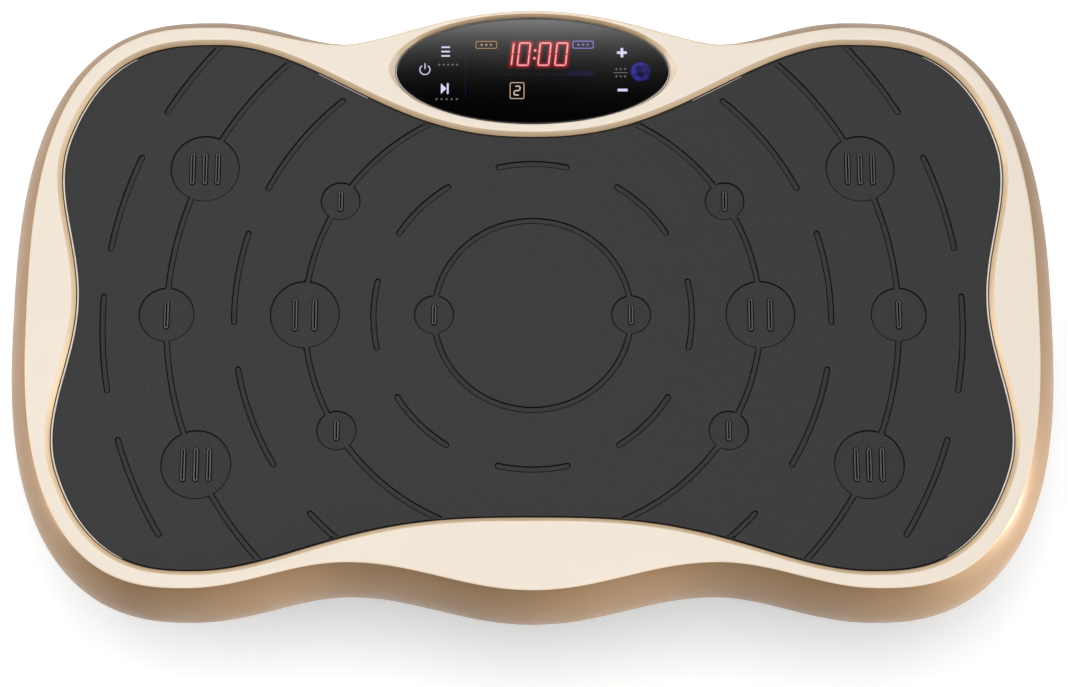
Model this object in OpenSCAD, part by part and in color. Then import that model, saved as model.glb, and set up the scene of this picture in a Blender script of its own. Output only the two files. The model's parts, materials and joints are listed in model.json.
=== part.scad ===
// Vibration plate: a rocking deck on a pivot shaft, driven by a motor, a belt and an eccentric crank.
// Millimetres, +Z up, +X to the user's right, +Y towards the display.
// The origin is on the floor, in the middle.

/* [Deck outline] */
// Width of the flat top face
deck_w = 508; // [470:1:540]
// Ring centre to the front nose of the top face
deck_front = 141; // [132:1:155]
// Ring centre to the back nose of the top face, behind the display
deck_back = 163; // [155:1:175]
// Ring centre to the dips in the front edge
front_dip = 127; // [120:1:134]
// Half the distance between the front dips
front_dip_x = 91; // [75:1:100]
// Ring centre to the crests of the front corners
front_crest = 140; // [132:1:150]
// Half the distance between the front crests
front_crest_x = 170; // [150:1:185]
// Ring centre to the dips in the back edge
back_dip = 144; // [138:1:150]
// Half the distance between the back dips
back_dip_x = 97; // [85:1:110]
// Ring centre to the crests of the back corners
back_crest = 153.5; // [146:0.5:162]
// Half the distance between the back crests
back_crest_x = 164; // [155:1:185]
// Squareness of the front and the back corners: 2 is an ellipse, more is squarer
front_corner_power = 2.6; // [2:0.1:3.5]
back_corner_power = 2.8; // [2:0.1:3.5]

/* [Skirt] */
// Height of the skirt below the top face
skirt_h = 60; // [52:1:66]
// Drop from the top face to the skirt's widest line
skirt_drop = 30; // [22:1:36]
// How far the skirt flares out beyond the top face
skirt_flare = 11; // [6:0.5:14]
// Flare behind the display, where the wall is steeper
nose_flare = 4; // [2:0.5:8]
// How far the skirt turns in again at its lower rim
rim_tuck = 10; // [6:0.5:12]
// Wall of the top shell
shell_t = 2.5; // [2:0.1:2.8]

/* [Mat] */
// Thickness of the mat
mat_t = 2.5; // [2:0.1:4]
// Depth of the mat's face below the top face
mat_drop = 2; // [1:0.1:3]
// Gap between the mat's edge and the wall of its well
mat_gap = 0.3; // [0.2:0.05:0.8]
// Width and depth of the sloping edge of the well
well_bevel = 2.5; // [1.5:0.1:3]
// Top face left between the well and the corners
rim_corner = 6.6; // [6.4:0.1:10]
// Top face left between the well and the side, away from the waist
rim_side = 6.4; // [5.2:0.1:8]
// Top face left at the waist
rim_waist = 23; // [15:1:30]
// Middle of the waist, behind the ring centre
waist_y = 6; // [-10:1:15]
// Half the length of the waist
waist_len = 88; // [70:1:95]
// Top face left at the front nose
rim_front = 34.5; // [25:0.5:42]
// Half the distance between the well's front crests
well_front_x = 167; // [155:1:185]
// Half the distance between the well's back crests
well_back_x = 162; // [150:1:180]
// Width of the tread grooves
groove_w = 3; // [2:0.1:4]
// Depth of the tread grooves
groove_depth = 0.8; // [0.4:0.1:1.5]
// Radii of the six tread rings, from the middle outwards
ring_a = 49.5; // [45:0.5:55]
ring_b = 80; // [75:0.5:85]
ring_c = 114.5; // [108:0.5:120]
ring_d = 150; // [144:0.5:156]
ring_e = 184; // [178:0.5:190]
ring_f = 216; // [210:0.5:222]
// Diameters of the stance circles
small_circle_d = 20; // [16:0.5:24]
middle_circle_d = 28; // [24:0.5:32]
large_circle_d = 35; // [30:0.5:38]
// Width of a tally mark
tally_w = 2.2; // [1.8:0.1:3]
// Width of the slot along a tally mark
tally_slot_w = 0.8; // [0.4:0.1:1.2]

/* [Display] */
// Width of the lens
lens_w = 140; // [120:1:150]
// Depth of the lens, front to back
lens_d = 58; // [50:1:62]
// Thickness of the lens
lens_t = 2; // [1.5:0.1:3]
// Depth of the lens below the top face
lens_drop = 2; // [1:0.1:2.4]
// Width of the sloping edge around the lens
lens_bevel = 2.5; // [1.5:0.1:3]
// Top face left behind the lens pocket
lens_rim = 1; // [0.6:0.1:2]
// Top face left between the lens pocket and the mat's well
lens_ridge = 2.3; // [1.5:0.1:5]
// Width of the ledge that carries the lens
ledge_w = 8; // [6:0.5:10]
// Thickness of the ledge
ledge_t = 3; // [2:0.1:4]
// Height of the bosses that carry the display board
board_boss_h = 4.4; // [4:0.1:8]
// Thickness of both circuit boards
pcb_t = 1.6; // [1:0.1:2.4]

/* [Base] */
// Height of the feet
foot_h = 14; // [10:0.5:20]
// Diameter of the feet
foot_d = 46; // [36:1:54]
// Wall of the base tray
tray_t = 3; // [2:0.1:4]
// Corner radius of the base tray
tray_r = 70; // [50:1:90]
// Distance of the tray's sides in from the edge of the top face
tray_inset = 29; // [27:1:34]
// Distance of the tray's front in from the front dips
tray_front_inset = 10.5; // [10:0.5:14]
// Distance of the tray's back in from the back dips
tray_back_inset = 12.5; // [12:0.5:16]
// Overlap of the tray's wall with the skirt
tray_lap = 6; // [2:0.5:8]
// Thickness of the steel base plate
base_plate_t = 3; // [2:0.5:5]
// Distance of a foot's middle in from the tray's side
foot_inset_x = 50; // [45:1:60]
// Distance of a foot's middle in from the tray's front or back
foot_inset_y = 40; // [34:1:46]

/* [Rocking pivot] */
// Largest tilt of the deck to each side, in degrees
rock_angle = 1.5; // [0.8:0.1:1.7]
// Height of the pivot above the base plate
pivot_h = 26; // [24:1:32]
// Diameter of the pivot shaft
shaft_d = 16; // [12:0.5:18]
// Wall of the pivot bushes
bush_t = 3; // [2:0.1:4]
// Middle of a pivot block, from the middle of the plate
pivot_block_y = 50; // [48:1:56]
// Thickness of the pivot blocks
pivot_block_t = 16; // [12:1:18]
// Thickness of the pivot brackets
bracket_t = 8; // [6:0.5:10]
// Size of the square cross beams
beam_w = 20; // [16:1:22]
// Wall of the cross beams
beam_t = 2; // [1.5:0.1:3]
// Length of the cross beams
beam_len = 360; // [320:1:380]
// Thickness of the steel deck plate
deck_plate_t = 4; // [3:0.5:6]
// Distance of the deck plate's sides in from the edge of the top face
deck_plate_inset = 59; // [50:1:70]
// Distance of the deck plate in from the well's front and back edges
deck_plate_margin = 10; // [6:1:14]

/* [Drive] */
// Distance of the crank from the pivot
crank_x = 62; // [58:1:68]
// Diameter of the crank shaft
crank_d = 12; // [10:0.5:13]
// Diameter of the eccentric
eccentric_d = 20; // [18:0.5:23]
// Outer diameter of the eccentric's bearing
eccentric_bearing_d = 42; // [38:0.5:44]
// Width of the eccentric's bearing and of the connecting rod
rod_w = 12; // [10:0.5:13]
// Wall around the connecting rod's large end
rod_wall = 6; // [5:0.5:7]
// Length of the connecting rod between its centres
rod_len = 32; // [31:0.5:38]
// Diameter of the wrist pin
wrist_pin_d = 10; // [8:0.5:12]
// Outer diameter of the crank's ball bearings
crank_bearing_d = 28; // [24:0.5:30]
// Middle of a crank block, from the middle of the plate
crank_block_y = 30; // [28:1:32]
// Thickness of the crank blocks
crank_block_t = 14; // [10:0.5:16]
// Diameter of the large pulley, under the belt
crank_pulley_d = 56; // [48:1:60]
// Diameter of the small pulley, under the belt
motor_pulley_d = 22; // [18:1:28]
// Distance between the pulleys' centres
belt_centres = 88; // [84:1:96]
// Width of the belt
belt_w = 11; // [8:0.5:12]
// Thickness of the belt
belt_t = 2.2; // [1.5:0.1:3]
// Diameter of the motor
motor_d = 58; // [50:1:62]
// Length of the motor
motor_len = 78; // [60:1:80]
// Diameter of the motor shaft
motor_shaft_d = 8; // [6:0.5:10]

/* [Electrics] */
// Width of the power board
power_board_w = 110; // [100:1:120]
// Depth of the power board
power_board_d = 120; // [110:1:130]
// Height of the board's standoffs
standoff_h = 8; // [5:0.5:12]
// Distance of the inlet's flange from the tray's rounded corner
inlet_margin = 5; // [2:1:12]
// Gap between the inlet's flange and the switch's bezel
switch_gap = 16; // [8:1:30]
// Tilt of the mains rocker to each side, in degrees
rocker_angle = 8; // [5:0.5:10]

/* [Hidden] */
$fn = 64;

// Small clearances, the overrun of a cut past its face, and shared fastener sizes
eps = 0.01;
cut = 1;
hole_fit = 0.05;
running_fit = 0.04;
thrust_gap = 0.5;
belt_gap = 0.3;
open_gap = 0.5;
big_screw_d = 6;
mid_screw_d = 5;
small_screw_d = 3;

// Heights, from the floor up
tray_z = foot_h;
base_plate_z = tray_z + tray_t;
bench_z = base_plate_z + base_plate_t;
pivot_z = bench_z + pivot_h;
flange_lip = 0.6;
crank_gap = 2.9;
crank_flange_r = crank_pulley_d / 2 + belt_gap + belt_t + flange_lip;
rod_r = eccentric_bearing_d / 2 + rod_wall;
eccentric = crank_x * tan(rock_angle);
crank_z = bench_z + max(crank_flange_r, rod_r + eccentric) + crank_gap;
wrist_z = crank_z + rod_len;
wrist_travel = norm([crank_x, wrist_z - pivot_z]) * sin(rock_angle);
wrist_hole_r = wrist_pin_d / 2 + eccentric + wrist_travel + open_gap;
small_end_wall = 4;
small_end_r = wrist_hole_r + small_end_wall;
clevis_t = 5;
clevis_gap = 1.4;
deck_plate_z = wrist_z + small_end_r + eccentric + wrist_travel + clevis_gap + clevis_t;
ceiling_z = deck_plate_z + deck_plate_t;
well_z = ceiling_z + shell_t;
top_z = well_z + mat_t + mat_drop;
rim_z = top_z - skirt_h;
tray_h = rim_z + tray_lap - tray_z;

// The ring centre lies where the outer size is even about the origin
ring_y = (deck_front + skirt_flare - deck_back - nose_flare) / 2;

// Display, from the back nose forwards
lens_y = deck_back - lens_rim - lens_bevel - lens_d / 2;
lens_z = top_z - lens_drop - lens_t;
ledge_z = lens_z - ledge_t;
display_board_z = ledge_z - board_boss_h - pcb_t;
boss_r = 3;
boss_angle = 40;
boss_points = [for (sx = [-1, 1], sy = [-1, 1])
    [sx * (lens_w / 2 - ledge_w / 2) * cos(boss_angle),
     lens_y + ring_y + sy * (lens_d / 2 - ledge_w / 2) * sin(boss_angle)]];

// The base tray's sides in the part's own frame
tray_x = deck_w / 2 - tray_inset;
tray_front_y = ring_y - front_dip + tray_front_inset;
tray_back_y = ring_y + back_dip - tray_back_inset;
tray_mid_y = (tray_front_y + tray_back_y) / 2;
tray_d = tray_back_y - tray_front_y;
foot_points = [for (sy = [-1, 1], sx = [-1, 1])
    [sx * (tray_x - foot_inset_x), tray_mid_y + sy * (tray_d / 2 - foot_inset_y)]];

// A rise from 0 to 1 with level ends; a power above 1 delays it
function ease(u, p = 1) = (1 - cos(180 * pow(max(0, min(1, u)), p))) / 2;
function wave(u, from, to, p = 1) = from + (to - from) * ease(u, p);
function steps(n) = [for (i = [0 : n - 1]) i / n];
// A rounded corner from its crest (u = 0) to the side (u = 1), with closer steps along the side
side_steps = 1.5;
function corner_angle(u) = 90 * (1 - pow(1 - u, side_steps));
function corner(u, crest_x, side_x, crest_y) =
    let (power = crest_y < 0 ? front_corner_power : back_corner_power)
    [crest_x + (side_x - crest_x) * pow(sin(corner_angle(u)), 2 / power),
     crest_y * pow(cos(corner_angle(u)), 2 / power)];
function mirrored(half) =
    concat(half, [for (i = [len(half) - 2 : -1 : 1]) [-half[i].x, half[i].y]]);

// Points on each stretch of half an outline
nose_n = 9;
dip_n = 7;
corner_n = 14;
nose_power = 0.75;
front_power = 1.5;
back_power = 1.2;

// Edge of the top face, about the ring centre, from the front nose to the right and back
side_x = deck_w / 2;
deck_half = concat(
    [for (u = steps(nose_n)) [front_dip_x * u, -wave(u, deck_front, front_dip)]],
    [for (u = steps(dip_n))
        [front_dip_x + (front_crest_x - front_dip_x) * u, -wave(u, front_dip, front_crest)]],
    [for (u = steps(corner_n)) corner(u, front_crest_x, side_x, -front_crest)],
    [for (u = steps(corner_n)) corner(1 - u, back_crest_x, side_x, back_crest)],
    [for (u = steps(dip_n))
        [back_crest_x - (back_crest_x - back_dip_x) * u, wave(u, back_crest, back_dip)]],
    [for (u = steps(nose_n)) [back_dip_x * (1 - u), wave(u, back_dip, deck_back, nose_power)]],
    [[0, deck_back]]);
deck_loop = mirrored(deck_half);

// Edge of the mat's well, pinched at the waist, with as many points as the top face
well_front = deck_front - rim_front;
well_back = lens_y - lens_d / 2 - lens_bevel - lens_ridge;
well_side = side_x - rim_side;
well_front_crest = front_crest - rim_corner;
well_back_crest = back_crest - rim_corner;
function pinch(y) = abs(y - waist_y) > waist_len ? 0
    : (rim_waist - rim_side) * (1 + cos(180 * (y - waist_y) / waist_len)) / 2;
function pinched(p) = [p.x - pinch(p.y), p.y];
well_half = concat(
    [for (u = steps(nose_n + dip_n))
        [well_front_x * u, -wave(u, well_front, well_front_crest, front_power)]],
    [for (u = steps(corner_n)) pinched(corner(u, well_front_x, well_side, -well_front_crest))],
    [for (u = steps(corner_n)) pinched(corner(1 - u, well_back_x, well_side, well_back_crest))],
    [for (u = steps(nose_n + dip_n))
        [well_back_x * (1 - u), wave(1 - u, well_back, well_back_crest, back_power)]],
    [[0, well_back]]);
well_loop = mirrored(well_half);
loop_n = len(deck_loop);

// Moves every point of a loop outwards, by one distance or by a list of them
function outset(loop, d) = [for (i = [0 : loop_n - 1])
    let (t = loop[(i + 1) % loop_n] - loop[(i + loop_n - 1) % loop_n])
    loop[i] + [t.y, -t.x] / norm(t) * (is_list(d) ? d[i] : d)];
function at_z(loop, z) = [for (i = [0 : loop_n - 1])
    [loop[i].x, loop[i].y + ring_y, is_list(z) ? z[i] : z]];

// The skirt flares less behind the display
nose_start = 60;
nose_end = 150;
flares = [for (p = deck_loop) p.y < 0 ? skirt_flare
    : wave((abs(p.x) - nose_start) / (nose_end - nose_start), nose_flare, skirt_flare)];
upper_n = 4;
lower_n = 4;
lower_h = skirt_h - skirt_drop;
tuck_r = (pow(rim_tuck, 2) + pow(lower_h, 2)) / (2 * rim_tuck);
// Upper arc of the skirt: from the top edge (u = 0) to the widest line (u = 1), upright there
function upper_angle(flare) = 2 * atan(flare / skirt_drop);
function upper_out(u, flare) = let (a = upper_angle(flare), r = skirt_drop / sin(a))
    r * (cos(a * (1 - u)) - cos(a));
function upper_drop(u, flare) = let (a = upper_angle(flare), r = skirt_drop / sin(a))
    r * (sin(a) - sin(a * (1 - u)));
// Lower arc of the skirt: from the widest line (u = 0) in to the rim (u = 1)
function lower_out(u) = sqrt(pow(tuck_r, 2) - pow(lower_h * u, 2)) - tuck_r;
function upper_ring(u, inset) = at_z(
    outset(deck_loop, [for (f = flares) upper_out(u, f) - inset]),
    [for (f = flares) top_z - max(upper_drop(u, f), inset)]);
function lower_ring(u, inset) = at_z(
    outset(deck_loop, [for (f = flares) f + lower_out(u) - inset]), top_z - skirt_drop - lower_h * u);

// A closed skin over rings of equal length, with a flat cap at each end
module skin(rings) {
    n = len(rings[0]);
    m = len(rings);
    sides = [for (k = [0 : m - 2], i = [0 : n - 1]) let (j = (i + 1) % n)
        each [[k * n + i, k * n + j, (k + 1) * n + j], [k * n + i, (k + 1) * n + j, (k + 1) * n + i]]];
    first_cap = [for (i = [n - 1 : -1 : 0]) i];
    last_cap = [for (i = [0 : n - 1]) (m - 1) * n + i];
    polyhedron([for (ring = rings) each ring], concat([first_cap], sides, [last_cap]));
}

ellipse_n = 72;
function ellipse_loop(rx, ry) = [for (u = steps(ellipse_n)) [rx * cos(360 * u), ry * sin(360 * u)]];

module ellipse(rx, ry) {
    polygon(ellipse_loop(rx, ry));
}

module rounded_rect(w, d, r) {
    square([w - 2 * r, d], center = true);
    square([w, d - 2 * r], center = true);
    for (sx = [-1, 1], sy = [-1, 1])
        translate([sx * (w / 2 - r), sy * (d / 2 - r)]) circle(r);
}

// A bar along Y, from y0 to y1
module bar_y(r, y0, y1) {
    translate([0, y1, 0]) rotate([90, 0, 0]) cylinder(r = r, h = y1 - y0);
}

// A ring along Y, from y0 to y1
module ring_y_axis(r_out, r_in, y0, y1) {
    difference() {
        bar_y(r_out, y0, y1);
        drill_y(r_in, y0, y1);
    }
}

// Head and hexagon socket of a cap screw, in proportion to its thread
function head_d(d) = 1.7 * d;
function head_h(d) = 0.8 * d;
function socket_d(d) = 0.9 * d;
hex = 6;

// A cap screw that points down, with its head seated at the origin
module cap_screw(d, length) {
    translate([0, 0, -length]) cylinder(d = d, h = length + eps);
    difference() {
        cylinder(d = head_d(d), h = head_h(d));
        translate([0, 0, head_h(d) / 2]) cylinder(d = socket_d(d), h = head_h(d), $fn = hex);
    }
}

// A countersunk screw that points down, with its head flush at the origin
module flush_screw(d, length) {
    translate([0, 0, -length]) cylinder(d = d, h = length);
    difference() {
        translate([0, 0, -d / 2]) cylinder(d1 = d, d2 = 2 * d, h = d / 2);
        translate([0, 0, -socket_d(d) / 3]) cylinder(d = socket_d(d), h = d, $fn = hex);
    }
}

module flush_hole(d, length) {
    translate([0, 0, -length - cut]) cylinder(d = d + 2 * hole_fit, h = length + cut);
    translate([0, 0, -d / 2]) cylinder(d1 = d + 2 * hole_fit, d2 = 2 * d + 2 * hole_fit, h = d / 2 + eps);
}

module at_points(points, z) {
    for (p = points) translate([p.x, p.y, z]) children();
}

// Screw holes through a plate that starts at z
module drill(points, d, z, t) {
    at_points(points, z - cut) cylinder(d = d + 2 * hole_fit, h = t + 2 * cut);
}

// A hole along Y, from y0 to y1
module drill_y(r, y0, y1) {
    bar_y(r, y0 - cut, y1 + cut);
}

// Places along Y of the pieces on the pivot shaft
bush_flange_t = 2;
bush_flange_w = 3;
pivot_hub_wall = 6;
pivot_hub_r = shaft_d / 2 + bush_t + pivot_hub_wall;
block_foot_t = 8;
block_ear = 15;
pivot_foot_w = 2 * (pivot_hub_r + block_ear);
pivot_block_out = pivot_block_y + pivot_block_t / 2;
bracket_in = pivot_block_out + bush_flange_t + thrust_gap;
bracket_out = bracket_in + bracket_t;
beam_y = (bracket_in + bracket_out) / 2;
beam_z = deck_plate_z - beam_w;
clip_t = 1.2;
clip_w = 3;
shaft_end = 3;

// Places along Y of the pieces on the crank
crank_hub_wall = 6;
crank_hub_r = crank_bearing_d / 2 + crank_hub_wall;
crank_foot_w = 2 * (crank_hub_r + block_ear);
crank_block_out = crank_block_y + crank_block_t / 2;
bearing_w = 8;
race_w = 2;
shield_step = 0.6;
flange_t = 1.5;
belt_play = 0.4;
pulley_gap = 1.5;
pulley_holes = 5;
pulley_hole_r = 5.5;
pulley_y0 = crank_block_out + pulley_gap;
pulley_w = belt_w + 2 * (belt_play + flange_t);
belt_y0 = pulley_y0 + flange_t + belt_play;
eccentric_lip = 2;
eccentric_y = rod_w / 2 + eccentric_lip;

// Motor, behind its face plate
motor_gap = 3;
motor_x = crank_x + belt_centres;
motor_z = bench_z + motor_gap + motor_d / 2;
motor_screw_d = 4;
motor_screw_pcd = 40;
motor_thread = 9;
motor_grip = 8;
motor_plate_t = 4;
motor_boss_r = 11;
motor_boss_h = 2;
motor_bell_h = 4;
motor_bell_inset = 6;
head_gap = 1.3;
motor_face_y = pulley_y0 - head_gap - head_h(motor_screw_d) - motor_plate_t;
motor_bore = 25;
motor_foot_d = 32;
motor_plate_margin = 6;
motor_plate_w = motor_d + 2 * motor_plate_margin;
motor_foot_screw_y = [10, 24];
motor_foot_screw_inset = 9;
motor_screw_points = [for (a = [45 : 90 : 315]) motor_screw_pcd / 2 * [cos(a), sin(a)]];
bracket_screw_points = [for (sx = [-1, 1], y = motor_foot_screw_y)
    [motor_x + sx * (motor_plate_w / 2 - motor_foot_screw_inset), motor_face_y + motor_plate_t + y]];

// Clevis under the deck plate
ear_gap = 1.5;
ear_t = 6;
ear_in = rod_w / 2 + ear_gap;
ear_out = ear_in + ear_t;
ear_wall = 5;
ear_r = wrist_pin_d / 2 + ear_wall;
clevis_screw_gap = 1.2;
clevis_screw_y = ear_out + head_d(mid_screw_d) / 2 + clevis_screw_gap;
clevis_w = 40;
clevis_d = 2 * (clevis_screw_y + mid_screw_d);
clevis_screw_points = [for (sx = [-1, 1], sy = [-1, 1])
    [crank_x + sx * (clevis_w / 2 - mid_screw_d), sy * clevis_screw_y]];

// Deck plate and the screws under the mat
deck_plate_x = side_x - deck_plate_inset;
deck_plate_y0 = ring_y - well_front + deck_plate_margin;
deck_plate_y1 = ring_y + well_back - deck_plate_margin;
deck_screw_inset = 16;
deck_screw_mid_x = 60;
deck_plate_r = 25;
deck_screw_end = 0.5;
deck_screw_len = shell_t + deck_plate_t - deck_screw_end;
deck_screw_points = [for (
    sx = [-1, 1],
    x = [deck_screw_mid_x, deck_plate_x - deck_screw_inset],
    y = [deck_plate_y0 + deck_screw_inset, deck_plate_y1 - deck_screw_inset]) [sx * x, y]];

// Power board, beside the tray's left wall
board_gap = 12;
board_x = -(tray_x - tray_t - board_gap - power_board_w / 2);
board_z = bench_z + standoff_h;
board_top = board_z + pcb_t;
standoff_r = 4;
standoff_inset = 6;
standoff_floor = 1;
board_screw_end = 2;
standoff_points = [for (sx = [-1, 1], sy = [-1, 1])
    [board_x + sx * (power_board_w / 2 - standoff_inset),
     tray_mid_y + sy * (power_board_d / 2 - standoff_inset)]];

// Mains inlet and switch in the tray's back wall, seen from behind with the inlet on the right
inlet_z = tray_z + tray_h / 2;
inlet_w = 30;
inlet_h = 22;
inlet_depth = 22;
socket_w = 24;
socket_h = 17;
socket_depth = 16;
pin_len = 11;
pin_pitch = 7;
pin_w = 2;
pin_h = 4;
pin_shift = 2;
flange_w = 50;
flange_h = 26;
flange_out = 2.5;
inlet_screw_x = 20;
inlet_screw_end = 3;
inlet_x = -(tray_x - tray_r - inlet_margin - flange_w / 2);
panel_fit = 0.15;
bezel_w = 18;
bezel_h = 27;
bezel_out = 2;
switch_x = inlet_x + flange_w / 2 + switch_gap + bezel_w / 2;
switch_w = 15;
switch_h = 22;
switch_depth = 18;
rocker_w = 11;
rocker_half_h = 8.2;
rocker_out = 5.5;
rocker_mid_out = 4.2;
rocker_back_h = 6;
rocker_back = 2;
rocker_pin_r = 1.5;
rocker_pin_len = 0.9;
rocker_pin_span = rocker_w + 2 * rocker_pin_len;
rocker_side_gap = 0.3;
rocker_depth = 2;
rocker_gap = 0.4;
rocker_y = tray_back_y - rocker_depth;
rocker_reach = norm([rocker_half_h, rocker_out]);
rocker_slot_h = rocker_reach * cos(atan(rocker_out / rocker_half_h) - rocker_angle) + rocker_gap;
rocker_slot_back = norm([rocker_back_h, rocker_back]) + rocker_gap;

// The whole top shell is one skin: well, top face, skirt, rim and the inner faces
shell_rings = concat(
    [at_z(outset(well_loop, -well_bevel), well_z), at_z(outset(well_loop, -well_bevel), top_z - well_bevel),
     at_z(well_loop, top_z), at_z(deck_loop, top_z)],
    [for (k = [1 : upper_n]) upper_ring(k / upper_n, 0)],
    [for (k = [1 : lower_n]) lower_ring(k / lower_n, 0)],
    [for (k = [lower_n : -1 : 1]) lower_ring(k / lower_n, shell_t)],
    [for (k = [upper_n : -1 : 1]) upper_ring(k / upper_n, shell_t)],
    [at_z(outset(deck_loop, -shell_t), top_z - shell_t), at_z(outset(well_loop, shell_t), top_z - shell_t),
     at_z(outset(well_loop, shell_t), ceiling_z)]);
pocket_wall = 1.2;
lens_fit = 0.15;
boss_bite = 0.5;
boss_hole = 3.6;
boss_grip = 3;

module at_lens(z) {
    translate([0, lens_y + ring_y, z]) children();
}

module top_shell() {
    rx = lens_w / 2 + lens_fit;
    ry = lens_d / 2 + lens_fit;
    color("#f0e3d3") difference() {
        union() {
            skin(shell_rings);
            at_lens(ledge_z) linear_extrude(top_z - shell_t - ledge_z + boss_bite)
                ellipse(rx + pocket_wall, ry + pocket_wall);
            at_points(boss_points, ledge_z - board_boss_h) cylinder(r = boss_r, h = board_boss_h + boss_bite);
        }
        at_lens(lens_z) linear_extrude(lens_t + lens_drop + cut) ellipse(rx, ry);
        at_lens(top_z) skin([
            [for (p = ellipse_loop(rx, ry)) [p.x, p.y, -lens_drop]],
            [for (p = ellipse_loop(rx + lens_bevel, ry + lens_bevel)) [p.x, p.y, eps]]]);
        at_lens(ledge_z - cut) linear_extrude(ledge_t + 2 * cut) ellipse(window_x, window_y);
        at_points(boss_points, ledge_z - board_boss_h - cut)
            cylinder(d = small_screw_d + 2 * hole_fit, h = boss_hole + cut);
        at_points(deck_screw_points, well_z) flush_hole(mid_screw_d, shell_t);
    }
}

// Tread pattern: the middle and half the sweep of each dash, in degrees from the right
arc_b = [for (a = [0 : 45 : 315]) [a, 12.5]];
arc_d_right = [[7.5, 9], [38, 11.5], [-21, 10], [-51, 8]];
arc_f_right = [[-4, 6.5], [16, 6.7], [37, 7], [-24.5, 7]];
function both_sides(arcs) = concat(arcs, [for (a = arcs) [180 - a[0], a[1]]]);
stance_circles = concat(
    [for (a = [0, 180]) [ring_a, a, small_circle_d, 1]],
    [for (a = [0, 180]) [ring_c, a, large_circle_d, 2]],
    [for (a = [31.6, 148.4, 211.6, 328.4]) [ring_c, a, small_circle_d, 1]],
    [for (a = [0, 180]) [ring_e, a, middle_circle_d, 1]],
    [for (a = [24.9, 155.1, 204.9, 335.1]) [ring_e, a, large_circle_d, 3]]);
tally_pitch = 6.4;
tally_two_pitch = 9.8;
tally_len = [0.52, 0.47, 0.47];
ring_fn = 180;
dash_fn = 24;
// Round ends are narrower than their bar by this much a side
end_step = 0.05;

module ring_groove(r) {
    difference() {
        cylinder(r = r + groove_w / 2, h = groove_depth + cut, $fn = ring_fn);
        translate([0, 0, -cut]) cylinder(r = r - groove_w / 2, h = groove_depth + 3 * cut, $fn = ring_fn);
    }
}

module dash_groove(r, mid, half) {
    rotate(mid - half) rotate_extrude(angle = 2 * half, $fn = ring_fn)
        translate([r - groove_w / 2, 0]) square([groove_w, groove_depth + cut]);
    for (a = [mid - half, mid + half])
        rotate(a) translate([r, 0, 0]) cylinder(d = groove_w - 2 * end_step, h = groove_depth + cut, $fn = dash_fn);
}

// A bar along Y with round ends
module stroke(w, length, h) {
    translate([-w / 2, -length / 2, 0]) cube([w, length, h]);
    for (side = [-1, 1]) translate([0, side * length / 2, 0])
        cylinder(d = w - 2 * end_step, h = h, $fn = dash_fn);
}

// Raised tally marks in a stance circle, each a narrow rim around a slot
module tally(count, d) {
    pitch = count == 2 ? tally_two_pitch : tally_pitch;
    length = d * tally_len[count - 1] - tally_w;
    for (i = [0 : count - 1]) translate([(i - (count - 1) / 2) * pitch, 0, 0]) difference() {
        stroke(tally_w, length, groove_depth);
        translate([0, 0, groove_depth / 2]) stroke(tally_slot_w, length, groove_depth);
    }
}

module stance_circle(d, marks) {
    difference() {
        cylinder(d = d, h = groove_depth + cut);
        tally(marks, d);
    }
}

module standing_mat() {
    color("#3b3b3c") difference() {
        translate([0, ring_y, well_z])
            linear_extrude(mat_t) polygon(outset(well_loop, -well_bevel - mat_gap));
        translate([0, ring_y, well_z + mat_t - groove_depth]) {
            for (r = [ring_a, ring_c, ring_e]) ring_groove(r);
            for (a = arc_b) dash_groove(ring_b, a[0], a[1]);
            for (a = both_sides(arc_d_right)) dash_groove(ring_d, a[0], a[1]);
            for (a = both_sides(arc_f_right)) dash_groove(ring_f, a[0], a[1]);
            for (c = stance_circles) translate(c[0] * [cos(c[1]), sin(c[1]), 0]) stance_circle(c[2], c[3]);
        }
    }
}

module display_lens() {
    color("#0b0b0e") at_lens(lens_z) linear_extrude(lens_t) ellipse(lens_w / 2, lens_d / 2);
}

// Places on the display board, from the middle of the lens
window_x = lens_w / 2 - ledge_w;
window_y = lens_d / 2 - ledge_w;
key_r = 3;
key_wall = 0.8;
key_inset = [18, 11];
power_key_inset = 7.5;
key_x = window_x - key_inset.x;
key_y = window_y - key_inset.y;
power_key_x = window_x - power_key_inset;
key_points = [[-power_key_x, 0], [-key_x, key_y], [-key_x, -key_y], [key_x, key_y], [key_x, -key_y]];
led_w = 36;
led_d = 16;
led_gap = 0.3;
led_shift = 2.7;
led_inset = 12.5;
led_point = [led_shift, window_y - led_inset];
ir_size = 6;
ir_h = 4;
ir_dome_d = 4.8;
ir_inset = 8.5;
ir_point = [window_x - ir_inset, 0];
display_board_inset = 4;
display_h = lens_z - display_board_z - pcb_t;

module display_board() {
    color("#1f5b35") difference() {
        at_lens(display_board_z) linear_extrude(pcb_t)
            ellipse(lens_w / 2 - display_board_inset, lens_d / 2 - display_board_inset);
        drill(boss_points, small_screw_d, display_board_z, pcb_t);
    }
}

module led_module() {
    color("#303034") at_lens(display_board_z + pcb_t)
        translate([led_point.x - led_w / 2, led_point.y - led_d / 2, 0])
            cube([led_w, led_d, display_h - led_gap]);
}

module touch_springs() {
    color("#c9c9cc") at_lens(display_board_z + pcb_t)
        for (p = key_points) translate([p.x, p.y, 0]) difference() {
            cylinder(r = key_r, h = display_h);
            translate([0, 0, -cut]) cylinder(r = key_r - key_wall, h = display_h + 2 * cut);
        }
}

module ir_receiver() {
    color("#2a2740") at_lens(display_board_z + pcb_t) translate([ir_point.x, ir_point.y, 0]) {
        translate([-ir_size / 2, -ir_size / 2, 0]) cube([ir_size, ir_size, ir_h]);
        translate([0, 0, ir_h]) sphere(d = ir_dome_d);
    }
}

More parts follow.
